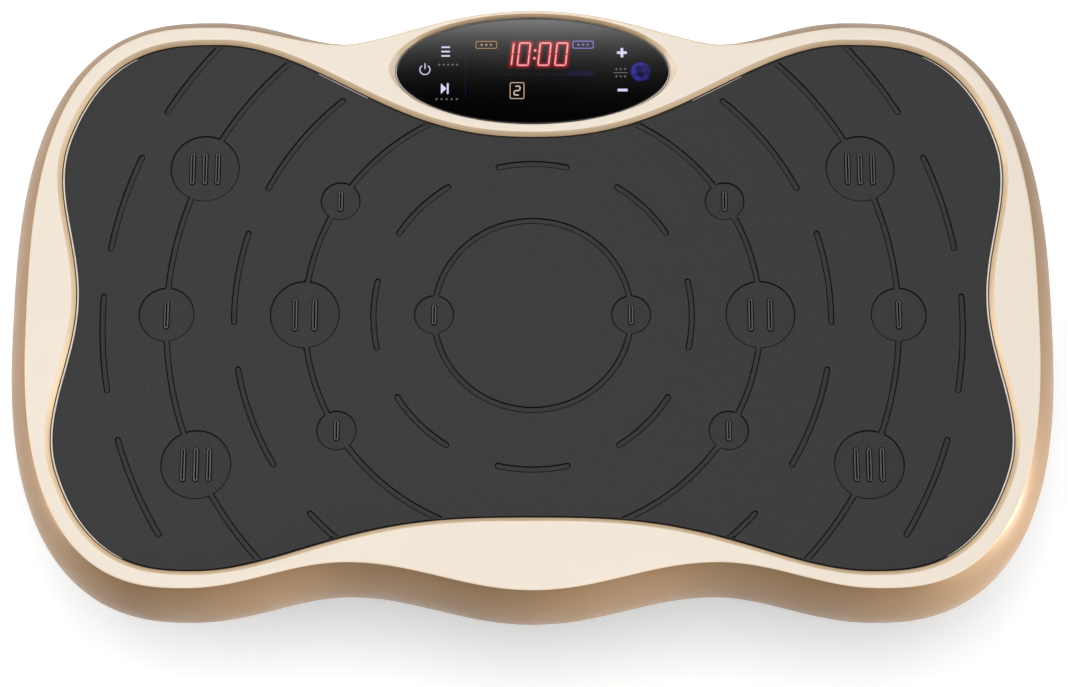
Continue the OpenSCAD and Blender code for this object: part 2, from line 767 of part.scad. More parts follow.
module display_screws() {
    color("#a9acb0") at_points(boss_points, display_board_z)
        rotate([180, 0, 0]) cap_screw(small_screw_d, pcb_t + boss_grip);
}

module deck_plate() {
    color("#8d9196") difference() {
        translate([0, (deck_plate_y0 + deck_plate_y1) / 2, deck_plate_z])
            linear_extrude(deck_plate_t)
                rounded_rect(2 * deck_plate_x, deck_plate_y1 - deck_plate_y0, deck_plate_r);
        at_points(deck_screw_points, well_z) flush_hole(mid_screw_d, shell_t + deck_plate_t);
        drill(clevis_screw_points, mid_screw_d, deck_plate_z, deck_plate_t);
    }
}

module deck_screws() {
    color("#a9acb0") at_points(deck_screw_points, well_z) flush_screw(mid_screw_d, deck_screw_len);
}

module cross_beam(side) {
    color("#8d9196") translate([-beam_len / 2, side * beam_y - beam_w / 2, beam_z]) difference() {
        cube([beam_len, beam_w, beam_w]);
        translate([-cut, beam_t, beam_t])
            cube([beam_len + 2 * cut, beam_w - 2 * beam_t, beam_w - 2 * beam_t]);
    }
}

module beam_front() cross_beam(-1);
module beam_back() cross_beam(1);

bracket_top_w = 50;
bracket_hub_wall = 8;
bracket_hub_r = shaft_d / 2 + bracket_hub_wall;

module pivot_bracket(side) {
    y0 = side > 0 ? bracket_in : -bracket_out;
    color("#7f8388") difference() {
        union() {
            translate([0, y0 + bracket_t, 0]) rotate([90, 0, 0]) linear_extrude(bracket_t)
                polygon([[-bracket_top_w / 2, beam_z], [-bracket_hub_r, pivot_z],
                         [bracket_hub_r, pivot_z], [bracket_top_w / 2, beam_z]]);
            translate([0, 0, pivot_z]) bar_y(bracket_hub_r, y0, y0 + bracket_t);
        }
        translate([0, 0, pivot_z]) drill_y(shaft_d / 2 + hole_fit, y0, y0 + bracket_t);
    }
}

module pivot_bracket_front() pivot_bracket(-1);
module pivot_bracket_back() pivot_bracket(1);

module pivot_shaft() {
    end = bracket_out + clip_t + shaft_end;
    color("#c3c6ca") translate([0, 0, pivot_z]) bar_y(shaft_d / 2, -end, end);
}

module clip(d, y0) {
    ring_y_axis(d / 2 + clip_w, d / 2 + hole_fit, y0, y0 + clip_t);
}

module shaft_clips() {
    color("#55585c") translate([0, 0, pivot_z]) {
        clip(shaft_d, bracket_out);
        clip(shaft_d, -bracket_out - clip_t);
    }
}

module rod_clevis() {
    base_z = deck_plate_z - clevis_t;
    color("#7f8388") difference() {
        union() {
            translate([crank_x - clevis_w / 2, -clevis_d / 2, base_z]) cube([clevis_w, clevis_d, clevis_t]);
            for (y0 = [-ear_out, ear_in]) {
                translate([crank_x - ear_r, y0, wrist_z]) cube([2 * ear_r, ear_t, base_z - wrist_z + eps]);
                translate([crank_x, 0, wrist_z]) bar_y(ear_r, y0, y0 + ear_t);
            }
        }
        translate([crank_x, 0, wrist_z]) drill_y(wrist_pin_d / 2 + hole_fit, -ear_out, ear_out);
        drill(clevis_screw_points, mid_screw_d, base_z, clevis_t);
    }
}

module clevis_screws() {
    color("#a9acb0") at_points(clevis_screw_points, deck_plate_z - clevis_t)
        rotate([180, 0, 0]) cap_screw(mid_screw_d, clevis_t + deck_plate_t);
}

module wrist_pin() {
    end = ear_out + clip_t + shaft_end / 2;
    color("#c3c6ca") translate([crank_x, 0, wrist_z]) bar_y(wrist_pin_d / 2, -end, end);
}

module wrist_clips() {
    color("#55585c") translate([crank_x, 0, wrist_z]) {
        clip(wrist_pin_d, ear_out);
        clip(wrist_pin_d, -ear_out - clip_t);
    }
}

module panel_hole(x, w, h) {
    translate([x - w / 2 - panel_fit, tray_back_y - tray_t - cut, inlet_z - h / 2 - panel_fit])
        cube([w + 2 * panel_fit, tray_t + 2 * cut, h + 2 * panel_fit]);
}

module base_tray() {
    color("#2c2b2a") difference() {
        translate([0, tray_mid_y, tray_z]) linear_extrude(tray_h) rounded_rect(2 * tray_x, tray_d, tray_r);
        translate([0, tray_mid_y, tray_z + tray_t]) linear_extrude(tray_h)
            rounded_rect(2 * (tray_x - tray_t), tray_d - 2 * tray_t, tray_r - tray_t);
        drill(foot_points, big_screw_d, tray_z, tray_t);
        panel_hole(inlet_x, inlet_w, inlet_h);
        panel_hole(switch_x, switch_w, switch_h);
        for (s = [-1, 1]) translate([inlet_x + s * inlet_screw_x, 0, inlet_z])
            drill_y(small_screw_d / 2 + hole_fit, tray_back_y - tray_t, tray_back_y);
    }
}

base_plate_gap = 7;
pivot_screw_x = pivot_foot_w / 2 - block_ear / 2;
crank_screw_x = crank_foot_w / 2 - block_ear / 2;
pivot_screw_points = [for (sx = [-1, 1], sy = [-1, 1]) [sx * pivot_screw_x, sy * pivot_block_y]];
crank_screw_points = [for (sx = [-1, 1], sy = [-1, 1]) [crank_x + sx * crank_screw_x, sy * crank_block_y]];

module base_plate() {
    color("#8d9196") difference() {
        translate([0, tray_mid_y, base_plate_z]) linear_extrude(base_plate_t)
            rounded_rect(2 * (tray_x - base_plate_gap), tray_d - 2 * base_plate_gap, tray_r - base_plate_gap);
        for (points = [foot_points, pivot_screw_points, crank_screw_points])
            drill(points, big_screw_d, base_plate_z, base_plate_t);
        drill(bracket_screw_points, mid_screw_d, base_plate_z, base_plate_t);
    }
}

foot_seat = 7;
foot_pocket_d = 14;
foot_taper = 4;
foot_neck_h = 2;
foot_lip = 4;
foot_edge = 1;

module foot(i) {
    color("#1b1b1c") translate([foot_points[i].x, foot_points[i].y, 0]) rotate_extrude()
        polygon([[foot_pocket_d / 2, 0], [foot_d / 2 - foot_edge, 0], [foot_d / 2, foot_edge],
                 [foot_d / 2, foot_lip], [foot_d / 2 - foot_taper, foot_h - foot_neck_h],
                 [foot_d / 2 - foot_taper, foot_h],
                 [big_screw_d / 2 + hole_fit, foot_h], [big_screw_d / 2 + hole_fit, foot_seat],
                 [foot_pocket_d / 2, foot_seat]]);
}

module foot_front_left() foot(0);
module foot_front_right() foot(1);
module foot_back_left() foot(2);
module foot_back_right() foot(3);

module foot_screws() {
    color("#a9acb0") at_points(foot_points, foot_seat)
        rotate([180, 0, 0]) cap_screw(big_screw_d, bench_z - foot_seat);
}

// A block that carries a shaft along Y, on a foot with two screw holes
module shaft_block(x, y, axis_z, hub_r, bore_r, t, foot_w, screw_x) {
    color("#6d7176") translate([x, y, 0]) difference() {
        union() {
            translate([-foot_w / 2, -t / 2, bench_z]) cube([foot_w, t, block_foot_t]);
            translate([-hub_r, -t / 2, bench_z]) cube([2 * hub_r, t, axis_z - bench_z]);
            translate([0, 0, axis_z]) bar_y(hub_r, -t / 2, t / 2);
        }
        translate([0, 0, axis_z]) drill_y(bore_r, -t / 2, t / 2);
        drill([[-screw_x, 0], [screw_x, 0]], big_screw_d, bench_z, block_foot_t);
    }
}

module pivot_block(side) {
    shaft_block(0, side * pivot_block_y, pivot_z, pivot_hub_r, shaft_d / 2 + bush_t + hole_fit,
        pivot_block_t, pivot_foot_w, pivot_screw_x);
}

module pivot_block_front() pivot_block(-1);
module pivot_block_back() pivot_block(1);

module pivot_bush(side) {
    bore = shaft_d / 2 + running_fit;
    flange = side > 0 ? pivot_block_out : -pivot_block_out - bush_flange_t;
    color("#b98b4a") translate([0, 0, pivot_z]) {
        ring_y_axis(shaft_d / 2 + bush_t, bore,
            side * pivot_block_y - pivot_block_t / 2, side * pivot_block_y + pivot_block_t / 2);
        ring_y_axis(shaft_d / 2 + bush_t + bush_flange_w, bore, flange, flange + bush_flange_t);
    }
}

module pivot_bush_front() pivot_bush(-1);
module pivot_bush_back() pivot_bush(1);

module pivot_block_screws() {
    color("#a9acb0") at_points(pivot_screw_points, bench_z + block_foot_t)
        cap_screw(big_screw_d, block_foot_t + base_plate_t);
}

module crank_block(side) {
    shaft_block(crank_x, side * crank_block_y, crank_z, crank_hub_r, crank_bearing_d / 2 + hole_fit,
        crank_block_t, crank_foot_w, crank_screw_x);
}

module crank_block_front() crank_block(-1);
module crank_block_back() crank_block(1);

// A shielded ball bearing: one ring with a shallow step in each face
module ball_bearing(d_out, r_in, y0, w) {
    difference() {
        ring_y_axis(d_out / 2, r_in, y0, y0 + w);
        for (y = [y0 - cut, y0 + w - shield_step])
            ring_y_axis(d_out / 2 - race_w, r_in + race_w, y, y + shield_step + cut);
    }
}

module crank_bearing(side) {
    color("#b4b7bb") translate([crank_x, 0, crank_z])
        ball_bearing(crank_bearing_d, crank_d / 2 + running_fit,
            side * crank_block_y - bearing_w / 2, bearing_w);
}

module crank_bearing_front() crank_bearing(-1);
module crank_bearing_back() crank_bearing(1);

module crank_block_screws() {
    color("#a9acb0") at_points(crank_screw_points, bench_z + block_foot_t)
        cap_screw(big_screw_d, block_foot_t + base_plate_t);
}

module motor_can() {
    color("#3f4347") translate([motor_x, 0, motor_z]) difference() {
        union() {
            bar_y(motor_d / 2, motor_face_y - motor_len + motor_bell_h, motor_face_y);
            bar_y(motor_d / 2 - motor_bell_inset, motor_face_y - motor_len,
                motor_face_y - motor_len + motor_bell_h + eps);
            bar_y(motor_boss_r, motor_face_y - eps, motor_face_y + motor_boss_h);
        }
        bar_y(motor_shaft_d / 2 + running_fit, motor_face_y - motor_bore, motor_face_y + motor_boss_h + cut);
        for (p = motor_screw_points) translate([p.x, 0, p.y])
            bar_y(motor_screw_d / 2 + hole_fit, motor_face_y - motor_thread, motor_face_y + cut);
    }
}

module motor_bracket() {
    y0 = motor_face_y;
    plate_h = motor_z + motor_d / 2 - bench_z;
    color("#6d7176") difference() {
        union() {
            translate([motor_x - motor_plate_w / 2, y0, bench_z]) {
                cube([motor_plate_w, motor_plate_t, plate_h]);
                cube([motor_plate_w, motor_foot_d, motor_plate_t]);
            }
        }
        translate([motor_x, 0, motor_z]) drill_y(motor_boss_r + hole_fit, y0, y0 + motor_plate_t);
        for (p = motor_screw_points) translate([motor_x + p.x, 0, motor_z + p.y])
            drill_y(motor_screw_d / 2 + hole_fit, y0, y0 + motor_plate_t);
        drill(bracket_screw_points, mid_screw_d, bench_z, motor_plate_t);
    }
}

module motor_screws() {
    color("#a9acb0") for (p = motor_screw_points)
        translate([motor_x + p.x, motor_face_y + motor_plate_t, motor_z + p.y])
            rotate([-90, 0, 0]) cap_screw(motor_screw_d, motor_plate_t + motor_grip);
}

module bracket_screws() {
    color("#a9acb0") at_points(bracket_screw_points, bench_z + motor_plate_t)
        cap_screw(mid_screw_d, motor_plate_t + base_plate_t);
}

module belt_outline(extra) {
    hull() {
        translate([crank_x, crank_z]) circle(r = crank_pulley_d / 2 + extra);
        translate([motor_x, motor_z]) circle(r = motor_pulley_d / 2 + extra);
    }
}

module drive_belt() {
    color("#17171a") translate([0, belt_y0 + belt_w, 0]) rotate([90, 0, 0]) linear_extrude(belt_w)
        difference() {
            belt_outline(belt_gap + belt_t);
            belt_outline(belt_gap);
        }
}

module power_board() {
    color("#1f5b35") difference() {
        translate([board_x - power_board_w / 2, tray_mid_y - power_board_d / 2, board_z])
            cube([power_board_w, power_board_d, pcb_t]);
        drill(standoff_points, small_screw_d, board_z, pcb_t);
    }
}

module board_standoffs() {
    color("#c2a35a") at_points(standoff_points, bench_z) difference() {
        cylinder(r = standoff_r, h = standoff_h);
        translate([0, 0, standoff_floor]) cylinder(d = small_screw_d + 2 * hole_fit, h = standoff_h);
    }
}

module board_screws() {
    color("#a9acb0") at_points(standoff_points, board_top)
        cap_screw(small_screw_d, pcb_t + standoff_h - board_screw_end);
}

// Parts on the power board, placed from its middle
transformer_at = [20, -28];
coil_size = [42, 36, 26];
core_size = [14, 44, 34];
sink_at = [-38, 38];
sink_size = [60, 14, 30];
sink_back_t = 3;
sink_fins = 8;
fin_t = 1.6;
capacitor_at = [-36, -38];
capacitor_d = 18;
capacitor_h = 30;
capacitor_pitch = 24;
capacitor_n = 3;

module on_board(place) {
    translate([board_x + place.x, tray_mid_y + place.y, board_top]) children();
}

// A box that stands on the board about its own middle
module standing_box(size) {
    translate([-size.x / 2, -size.y / 2, 0]) cube(size);
}

module transformer() {
    color("#8a5a2b") on_board(transformer_at) {
        standing_box(coil_size);
        standing_box(core_size);
    }
}

module heat_sink() {
    pitch = (sink_size.x - fin_t) / (sink_fins - 1);
    color("#9a9da2") on_board(sink_at) {
        cube([sink_size.x, sink_back_t, sink_size.z]);
        for (i = [0 : sink_fins - 1]) translate([i * pitch, 0, 0]) cube([fin_t, sink_size.y, sink_size.z]);
    }
}

module capacitors() {
    color("#26344f") for (i = [0 : capacitor_n - 1])
        on_board(capacitor_at + [0, i * capacitor_pitch]) cylinder(d = capacitor_d, h = capacitor_h);
}

module power_inlet() {
    mouth_y = tray_back_y + flange_out;
    color("#1d1d1f") {
        difference() {
            union() {
                translate([inlet_x - flange_w / 2, tray_back_y, inlet_z - flange_h / 2])
                    cube([flange_w, flange_out, flange_h]);
                translate([inlet_x - inlet_w / 2, tray_back_y - inlet_depth, inlet_z - inlet_h / 2])
                    cube([inlet_w, inlet_depth + eps, inlet_h]);
            }
            translate([inlet_x - socket_w / 2, mouth_y - socket_depth, inlet_z - socket_h / 2])
                cube([socket_w, socket_depth + cut, socket_h]);
            for (s = [-1, 1]) translate([inlet_x + s * inlet_screw_x, 0, inlet_z])
                drill_y(small_screw_d / 2 + hole_fit, tray_back_y, mouth_y);
        }
        for (i = [-1 : 1]) {
            z = inlet_z + pin_shift * (i == 0 ? 1 : -1);
            translate([inlet_x + i * pin_pitch - pin_w / 2, mouth_y - socket_depth - eps, z - pin_h / 2])
                cube([pin_w, pin_len, pin_h]);
        }
    }
}

module inlet_screws() {
    color("#a9acb0") for (s = [-1, 1])
        translate([inlet_x + s * inlet_screw_x, tray_back_y + flange_out, inlet_z])
            rotate([-90, 0, 0]) cap_screw(small_screw_d, flange_out + tray_t + inlet_screw_end);
}

module switch_housing() {
    slot_w = rocker_w + 2 * rocker_side_gap;
    color("#1d1d1f") difference() {
        union() {
            translate([switch_x - bezel_w / 2, tray_back_y, inlet_z - bezel_h / 2])
                cube([bezel_w, bezel_out, bezel_h]);
            translate([switch_x - switch_w / 2, tray_back_y - switch_depth, inlet_z - switch_h / 2])
                cube([switch_w, switch_depth + eps, switch_h]);
        }
        translate([switch_x - slot_w / 2, rocker_y - rocker_slot_back, inlet_z - rocker_slot_h])
            cube([slot_w, rocker_slot_back + rocker_depth + bezel_out + cut, 2 * rocker_slot_h]);
        translate([switch_x, rocker_y, inlet_z]) rotate([0, 90, 0])
            cylinder(r = rocker_pin_r + running_fit, h = rocker_pin_span + 2 * hole_fit, center = true);
    }
}

module crank_shaft() {
    color("#c3c6ca") translate([crank_x, 0, crank_z]) {
        bar_y(crank_d / 2, -crank_block_out - shaft_end, pulley_y0 + pulley_w + shaft_end);
        translate([eccentric, 0, 0]) bar_y(eccentric_d / 2, -eccentric_y, eccentric_y);
    }
}

module eccentric_bearing() {
    color("#b4b7bb") translate([crank_x + eccentric, 0, crank_z])
        ball_bearing(eccentric_bearing_d, eccentric_d / 2 + hole_fit, -rod_w / 2, rod_w);
}

// A flanged belt pulley along Y
module pulley(d, bore_r, hole_r) {
    rim = d / 2;
    lip = rim + belt_gap + belt_t + flange_lip;
    difference() {
        union() {
            bar_y(rim, pulley_y0, pulley_y0 + pulley_w);
            bar_y(lip, pulley_y0, pulley_y0 + flange_t);
            bar_y(lip, pulley_y0 + pulley_w - flange_t, pulley_y0 + pulley_w);
        }
        drill_y(bore_r + hole_fit, pulley_y0, pulley_y0 + pulley_w);
        if (hole_r > 0)
            for (u = steps(pulley_holes)) rotate([0, 360 * u, 0]) translate([(rim + bore_r) / 2, 0, 0])
                drill_y(hole_r, pulley_y0, pulley_y0 + pulley_w);
    }
}

module crank_pulley() {
    color("#5b5f64") translate([crank_x, 0, crank_z])
        pulley(crank_pulley_d, crank_d / 2, pulley_hole_r);
}

module motor_shaft() {
    color("#c3c6ca") translate([motor_x, 0, motor_z])
        bar_y(motor_shaft_d / 2, motor_face_y - motor_bore + thrust_gap, pulley_y0 + pulley_w + shaft_end);
}

module motor_pulley() {
    color("#5b5f64") translate([motor_x, 0, motor_z]) pulley(motor_pulley_d, motor_shaft_d / 2, 0);
}

rod_web_w = 16;

module connecting_rod() {
    big_bore = eccentric_bearing_d / 2 + running_fit;
    color("#9a9da2") translate([crank_x + eccentric, 0, 0]) difference() {
        union() {
            translate([0, 0, crank_z]) bar_y(rod_r, -rod_w / 2, rod_w / 2);
            translate([0, 0, wrist_z]) bar_y(small_end_r, -rod_w / 2, rod_w / 2);
            translate([-rod_web_w / 2, -rod_w / 2, crank_z]) cube([rod_web_w, rod_w, rod_len]);
        }
        translate([0, 0, crank_z]) drill_y(big_bore, -rod_w / 2, rod_w / 2);
        translate([0, 0, wrist_z]) drill_y(wrist_hole_r, -rod_w / 2, rod_w / 2);
    }
}

// The rocker rests tipped to its on side, about the X axis through its pin
module switch_rocker() {
    color("#b3241d") translate([switch_x, rocker_y, inlet_z]) rotate([rocker_angle, 0, 0]) {
        translate([-rocker_w / 2, 0, 0]) rotate([90, 0, 90]) linear_extrude(rocker_w)
            polygon([[rocker_out, -rocker_half_h], [rocker_mid_out, 0], [rocker_out, rocker_half_h],
                     [-rocker_back, rocker_back_h], [-rocker_back, -rocker_back_h]]);
        rotate([0, 90, 0]) cylinder(r = rocker_pin_r, h = rocker_pin_span, center = true);
    }
}

top_shell();
standing_mat();
display_lens();
display_board();
led_module();
touch_springs();
ir_receiver();
display_screws();
deck_plate();
deck_screws();
beam_front();
beam_back();
pivot_bracket_front();
pivot_bracket_back();
pivot_shaft();
shaft_clips();
rod_clevis();
clevis_screws();
wrist_pin();
wrist_clips();
base_tray();
base_plate();
foot_front_left();
foot_front_right();
foot_back_left();
foot_back_right();
foot_screws();
pivot_block_front();
pivot_block_back();
pivot_bush_front();
pivot_bush_back();
pivot_block_screws();
crank_block_front();
crank_block_back();
crank_bearing_front();
crank_bearing_back();
crank_block_screws();
motor_can();
motor_bracket();
motor_screws();
bracket_screws();
drive_belt();
power_board();
board_standoffs();
board_screws();
transformer();
heat_sink();
capacitors();
power_inlet();
inlet_screws();
switch_housing();
crank_shaft();
eccentric_bearing();
crank_pulley();
motor_shaft();
motor_pulley();
connecting_rod();
switch_rocker();
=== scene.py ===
import json
import math

import bpy
import numpy as np
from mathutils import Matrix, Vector
from mathutils.geometry import delaunay_2d_cdt, tessellate_polygon


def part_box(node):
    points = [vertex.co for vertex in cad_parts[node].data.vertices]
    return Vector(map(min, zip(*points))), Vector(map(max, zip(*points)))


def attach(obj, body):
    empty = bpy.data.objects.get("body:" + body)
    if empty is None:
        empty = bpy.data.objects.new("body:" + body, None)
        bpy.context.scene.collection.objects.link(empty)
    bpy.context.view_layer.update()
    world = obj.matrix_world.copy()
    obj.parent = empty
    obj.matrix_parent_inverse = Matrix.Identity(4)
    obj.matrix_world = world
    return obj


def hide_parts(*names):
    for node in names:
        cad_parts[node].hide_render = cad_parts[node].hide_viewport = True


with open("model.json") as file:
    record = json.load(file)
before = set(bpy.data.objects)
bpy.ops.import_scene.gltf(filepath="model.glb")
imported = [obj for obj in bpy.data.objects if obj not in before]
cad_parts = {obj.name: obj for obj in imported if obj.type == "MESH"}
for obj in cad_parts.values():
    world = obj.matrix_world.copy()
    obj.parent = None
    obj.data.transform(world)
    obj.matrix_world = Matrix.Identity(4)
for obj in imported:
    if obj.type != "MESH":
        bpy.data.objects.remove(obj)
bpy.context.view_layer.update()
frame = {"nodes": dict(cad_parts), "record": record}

# Sizes are in mm. Outlines are about the centre of the tread rings, heights above the floor.
MM = 0.001
RING_Y = -7.5


def node_box(node):
    lo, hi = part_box(node)
    return np.array(lo) / MM, np.array(hi) / MM


TOP_Z = node_box("top_shell")[1][2]
WELL_Z = node_box("standing_mat")[0][2]
MAT_Z = node_box("standing_mat")[1][2]
LENS_LO, LENS_HI = node_box("display_lens")

# Deck outline: distance of each crest and dip from the ring centre
SIDE_X = 254.0
DECK_FRONT = 141.0
DECK_BACK = 163.0
FRONT_DIP = 127.0
FRONT_DIP_X = 91.0
FRONT_CREST = 140.0
FRONT_CREST_X = 170.0
BACK_DIP = 144.0
BACK_DIP_X = 97.0
BACK_CREST = 153.5
BACK_CREST_X = 164.0
FRONT_CORNER_POWER = 2.6
BACK_CORNER_POWER = 2.8
NOSE_RISE = 0.75

# Points along each part of an outline, and how closely they crowd toward the middle of a side
DECK_N = 44
WELL_N = 64
OVAL_N = 240
CROWDING = 1.5

# Skirt and walls
SKIRT_H = 60.0
SKIRT_DROP = 30.0
SKIRT_FLARE = 11.0
SKIRT_N = 12
NOSE_FLARE = 4.0
NOSE_X = 60.0
NOSE_FADE = 90.0
RIM_TUCK = 10.0
SHELL_T = 2.5
LIP_BEVEL = 0.6

# Mat well: a bevelled edge, a narrow gap and, at the sides, a low lip beside the mat. The bevel's foot and
# the gap are painted shade
BEVEL_W = 2.1
BEVEL_R = 0.8
BEVEL_N = 4
SHOULDER_N = 3
SIDE_ROOM = 0.85
GAP_W = 0.55
GAP_D = 3.4
LIP_TOP = 2.2
LIP_SINK = 1.0
LIP_ROUND = 0.12
LIP_LEAST = 0.3
LIP_SHOWS = 0.45
LIP_FIT = 0.05
MAT_IN = 2.65
WELL_FRONT = 106.5
WELL_BACK = 96.7
WELL_SIDE = 247.6
WELL_FRONT_X = 167.0
WELL_BACK_X = 162.0
WELL_FRONT_CREST = 133.4
WELL_BACK_CREST = 146.9
WAIST_Y = 6.0
WAIST_LEN = 88.0
WAIST_PINCH = 16.6
FRONT_RISE = 1.5
BACK_RISE = 1.2

# Display pocket: its bevel is wide at the ends, and painted tan where it faces the back, as painted shade
LENS_Y = (LENS_LO[1] + LENS_HI[1]) / 2 - RING_Y
LENS_RX = (LENS_HI[0] - LENS_LO[0]) / 2
LENS_RY = (LENS_HI[1] - LENS_LO[1]) / 2
LENS_FIT = 0.15
LENS_DROP = TOP_Z - LENS_HI[2]
POCKET_LIP = 0.35
POCKET_LIP_RISE = 0.15
POCKET_GAP = 0.35
POCKET_GAP_D = 2.8
POCKET_BEVEL_END = 3.2
POCKET_BEVEL_BACK = 1.5
POCKET_BEVEL_FRONT = 0.3
# How far the outline must turn to the back for the bevel's painted shade, tan and then warm
POCKET_SHADE_FROM = 0.85
POCKET_HALF_SHADE_FROM = 0.55
LEDGE_W = 8.0
LEDGE_T = 3.0
POCKET_WALL = 0.8

# Small edges: radius, the flat step beside it that keeps the shading of flat faces even, and the
# angle in degrees past which an edge is shaded as sharp
DECK_EDGE_R = 1.3
DECK_EDGE_N = 6
EDGE_R = 0.45
EDGE_N = 4
LENS_STEP = 0.3
SUPPORT = 0.1
SHARP = 40.0

# Tread pattern: rings, dashes as (middle, half the sweep) in degrees, and stance circles as
# (ring, angles in degrees, diameter, tally marks)
GROOVE_W = 3.0
GROOVE_DEPTH = 0.8
RINGS = {"A": 49.5, "B": 80.0, "C": 114.5, "D": 150.0, "E": 184.0, "F": 216.0}
DASHES_B = [(middle, 12.5) for middle in range(0, 360, 45)]
DASHES_D = [(7.5, 9), (38, 11.5), (-21, 10), (-51, 8)]
DASHES_F = [(-4, 6.5), (16, 6.7), (37, 7), (-24.5, 7)]
SMALL_D = 20.0
MIDDLE_D = 28.0
LARGE_D = 35.0
STANCES = [
    ("A", (0, 180), SMALL_D, 1),
    ("C", (0, 180), LARGE_D, 2),
    ("C", (31.6, 148.4, 211.6, 328.4), SMALL_D, 1),
    ("E", (0, 180), MIDDLE_D, 1),
    ("E", (24.9, 155.1, 204.9, 335.1), LARGE_D, 3),
]
TALLY_W = 2.2
TALLY_SLOT_W = 0.8
TALLY_PITCH = {1: 0.0, 2: 9.8, 3: 6.4}
TALLY_LEN = {1: 0.52, 2: 0.48, 3: 0.48}

# Spacing of the points along the tread's outlines, and the fewest on an arc
ARC_STEP = 2.0
DISC_STEP = 1.0
TIP_STEP = 0.4
STROKE_STEP = 0.25
STROKE_SIDE_N = 8
ARC_LEAST_N = 6


def ease(u, power=1.0):
    return (1 - math.cos(math.pi * min(max(u, 0.0), 1.0) ** power)) / 2


def wave(u, a, b, power=1.0):
    return a + (b - a) * ease(u, power)


def steps(n):
    return [i / n for i in range(n)]


def run(a, b, n, power=1.0):
    """A wave from one crest or dip to the next."""
    (ax, ay), (bx, by) = a, b
    return [(ax + (bx - ax) * u, wave(u, ay, by, power)) for u in steps(n)]


def corner(u, crest_x, side_x, crest_y):
    """A rounded corner from a crest, at u 0, to the middle of the side, at u 1."""
    angle = math.radians(90 * (1 - (1 - u) ** CROWDING))
    share = 2 / (FRONT_CORNER_POWER if crest_y < 0 else BACK_CORNER_POWER)
    x = crest_x + (side_x - crest_x) * math.sin(angle) ** share
    return x, crest_y * abs(math.cos(angle)) ** share


def mirrored(half):
    return np.array(half + [(-x, y) for x, y in reversed(half[1:-1])])


def deck_outline(n):
    front_dip, front_crest = (FRONT_DIP_X, -FRONT_DIP), (FRONT_CREST_X, -FRONT_CREST)
    back_dip, back_crest = (BACK_DIP_X, BACK_DIP), (BACK_CREST_X, BACK_CREST)
    nose = (0.0, DECK_BACK)
    half = run((0.0, -DECK_FRONT), front_dip, n) + run(front_dip, front_crest, n)
    half += [corner(u, FRONT_CREST_X, SIDE_X, -FRONT_CREST) for u in steps(n + n // 2)]
    half += [corner(1 - u, BACK_CREST_X, SIDE_X, BACK_CREST) for u in steps(n + n // 2)]
    half += run(back_crest, back_dip, n) + run(back_dip, nose, n, NOSE_RISE)
    return mirrored(half + [nose])


def pinched(point):
    """The sides of the well draw in at the waist."""
    x, y = point
    off = y - WAIST_Y
    if abs(off) > WAIST_LEN:
        return x, y
    return x - WAIST_PINCH * (1 + math.cos(math.pi * off / WAIST_LEN)) / 2, y


def well_outline(n):
    half = run((0.0, -WELL_FRONT), (WELL_FRONT_X, -WELL_FRONT_CREST), n, FRONT_RISE)
    half += [pinched(corner(u, WELL_FRONT_X, WELL_SIDE, -WELL_FRONT_CREST)) for u in steps(n)]
    half += [pinched(corner(1 - u, WELL_BACK_X, WELL_SIDE, WELL_BACK_CREST)) for u in steps(n)]
    half += [(WELL_BACK_X * (1 - u), wave(1 - u, WELL_BACK, WELL_BACK_CREST, BACK_RISE)) for u in steps(n)]
    return mirrored(half + [(0.0, WELL_BACK)])


def outset(loop, distance):
    along = np.roll(loop, -1, 0) - np.roll(loop, 1, 0)
    out = np.stack([along[:, 1], -along[:, 0]], 1)
    out /= np.linalg.norm(out, axis=1, keepdims=True)
    return loop + out * np.broadcast_to(distance, len(loop))[:, None]


def circle(radius, count, centre=(0.0, 0.0), radius_y=None):
    angle = np.arange(count) * 2 * math.pi / count
    x = centre[0] + radius * np.cos(angle)
    y = centre[1] + (radius_y or radius) * np.sin(angle)
    return np.stack([x, y], 1)


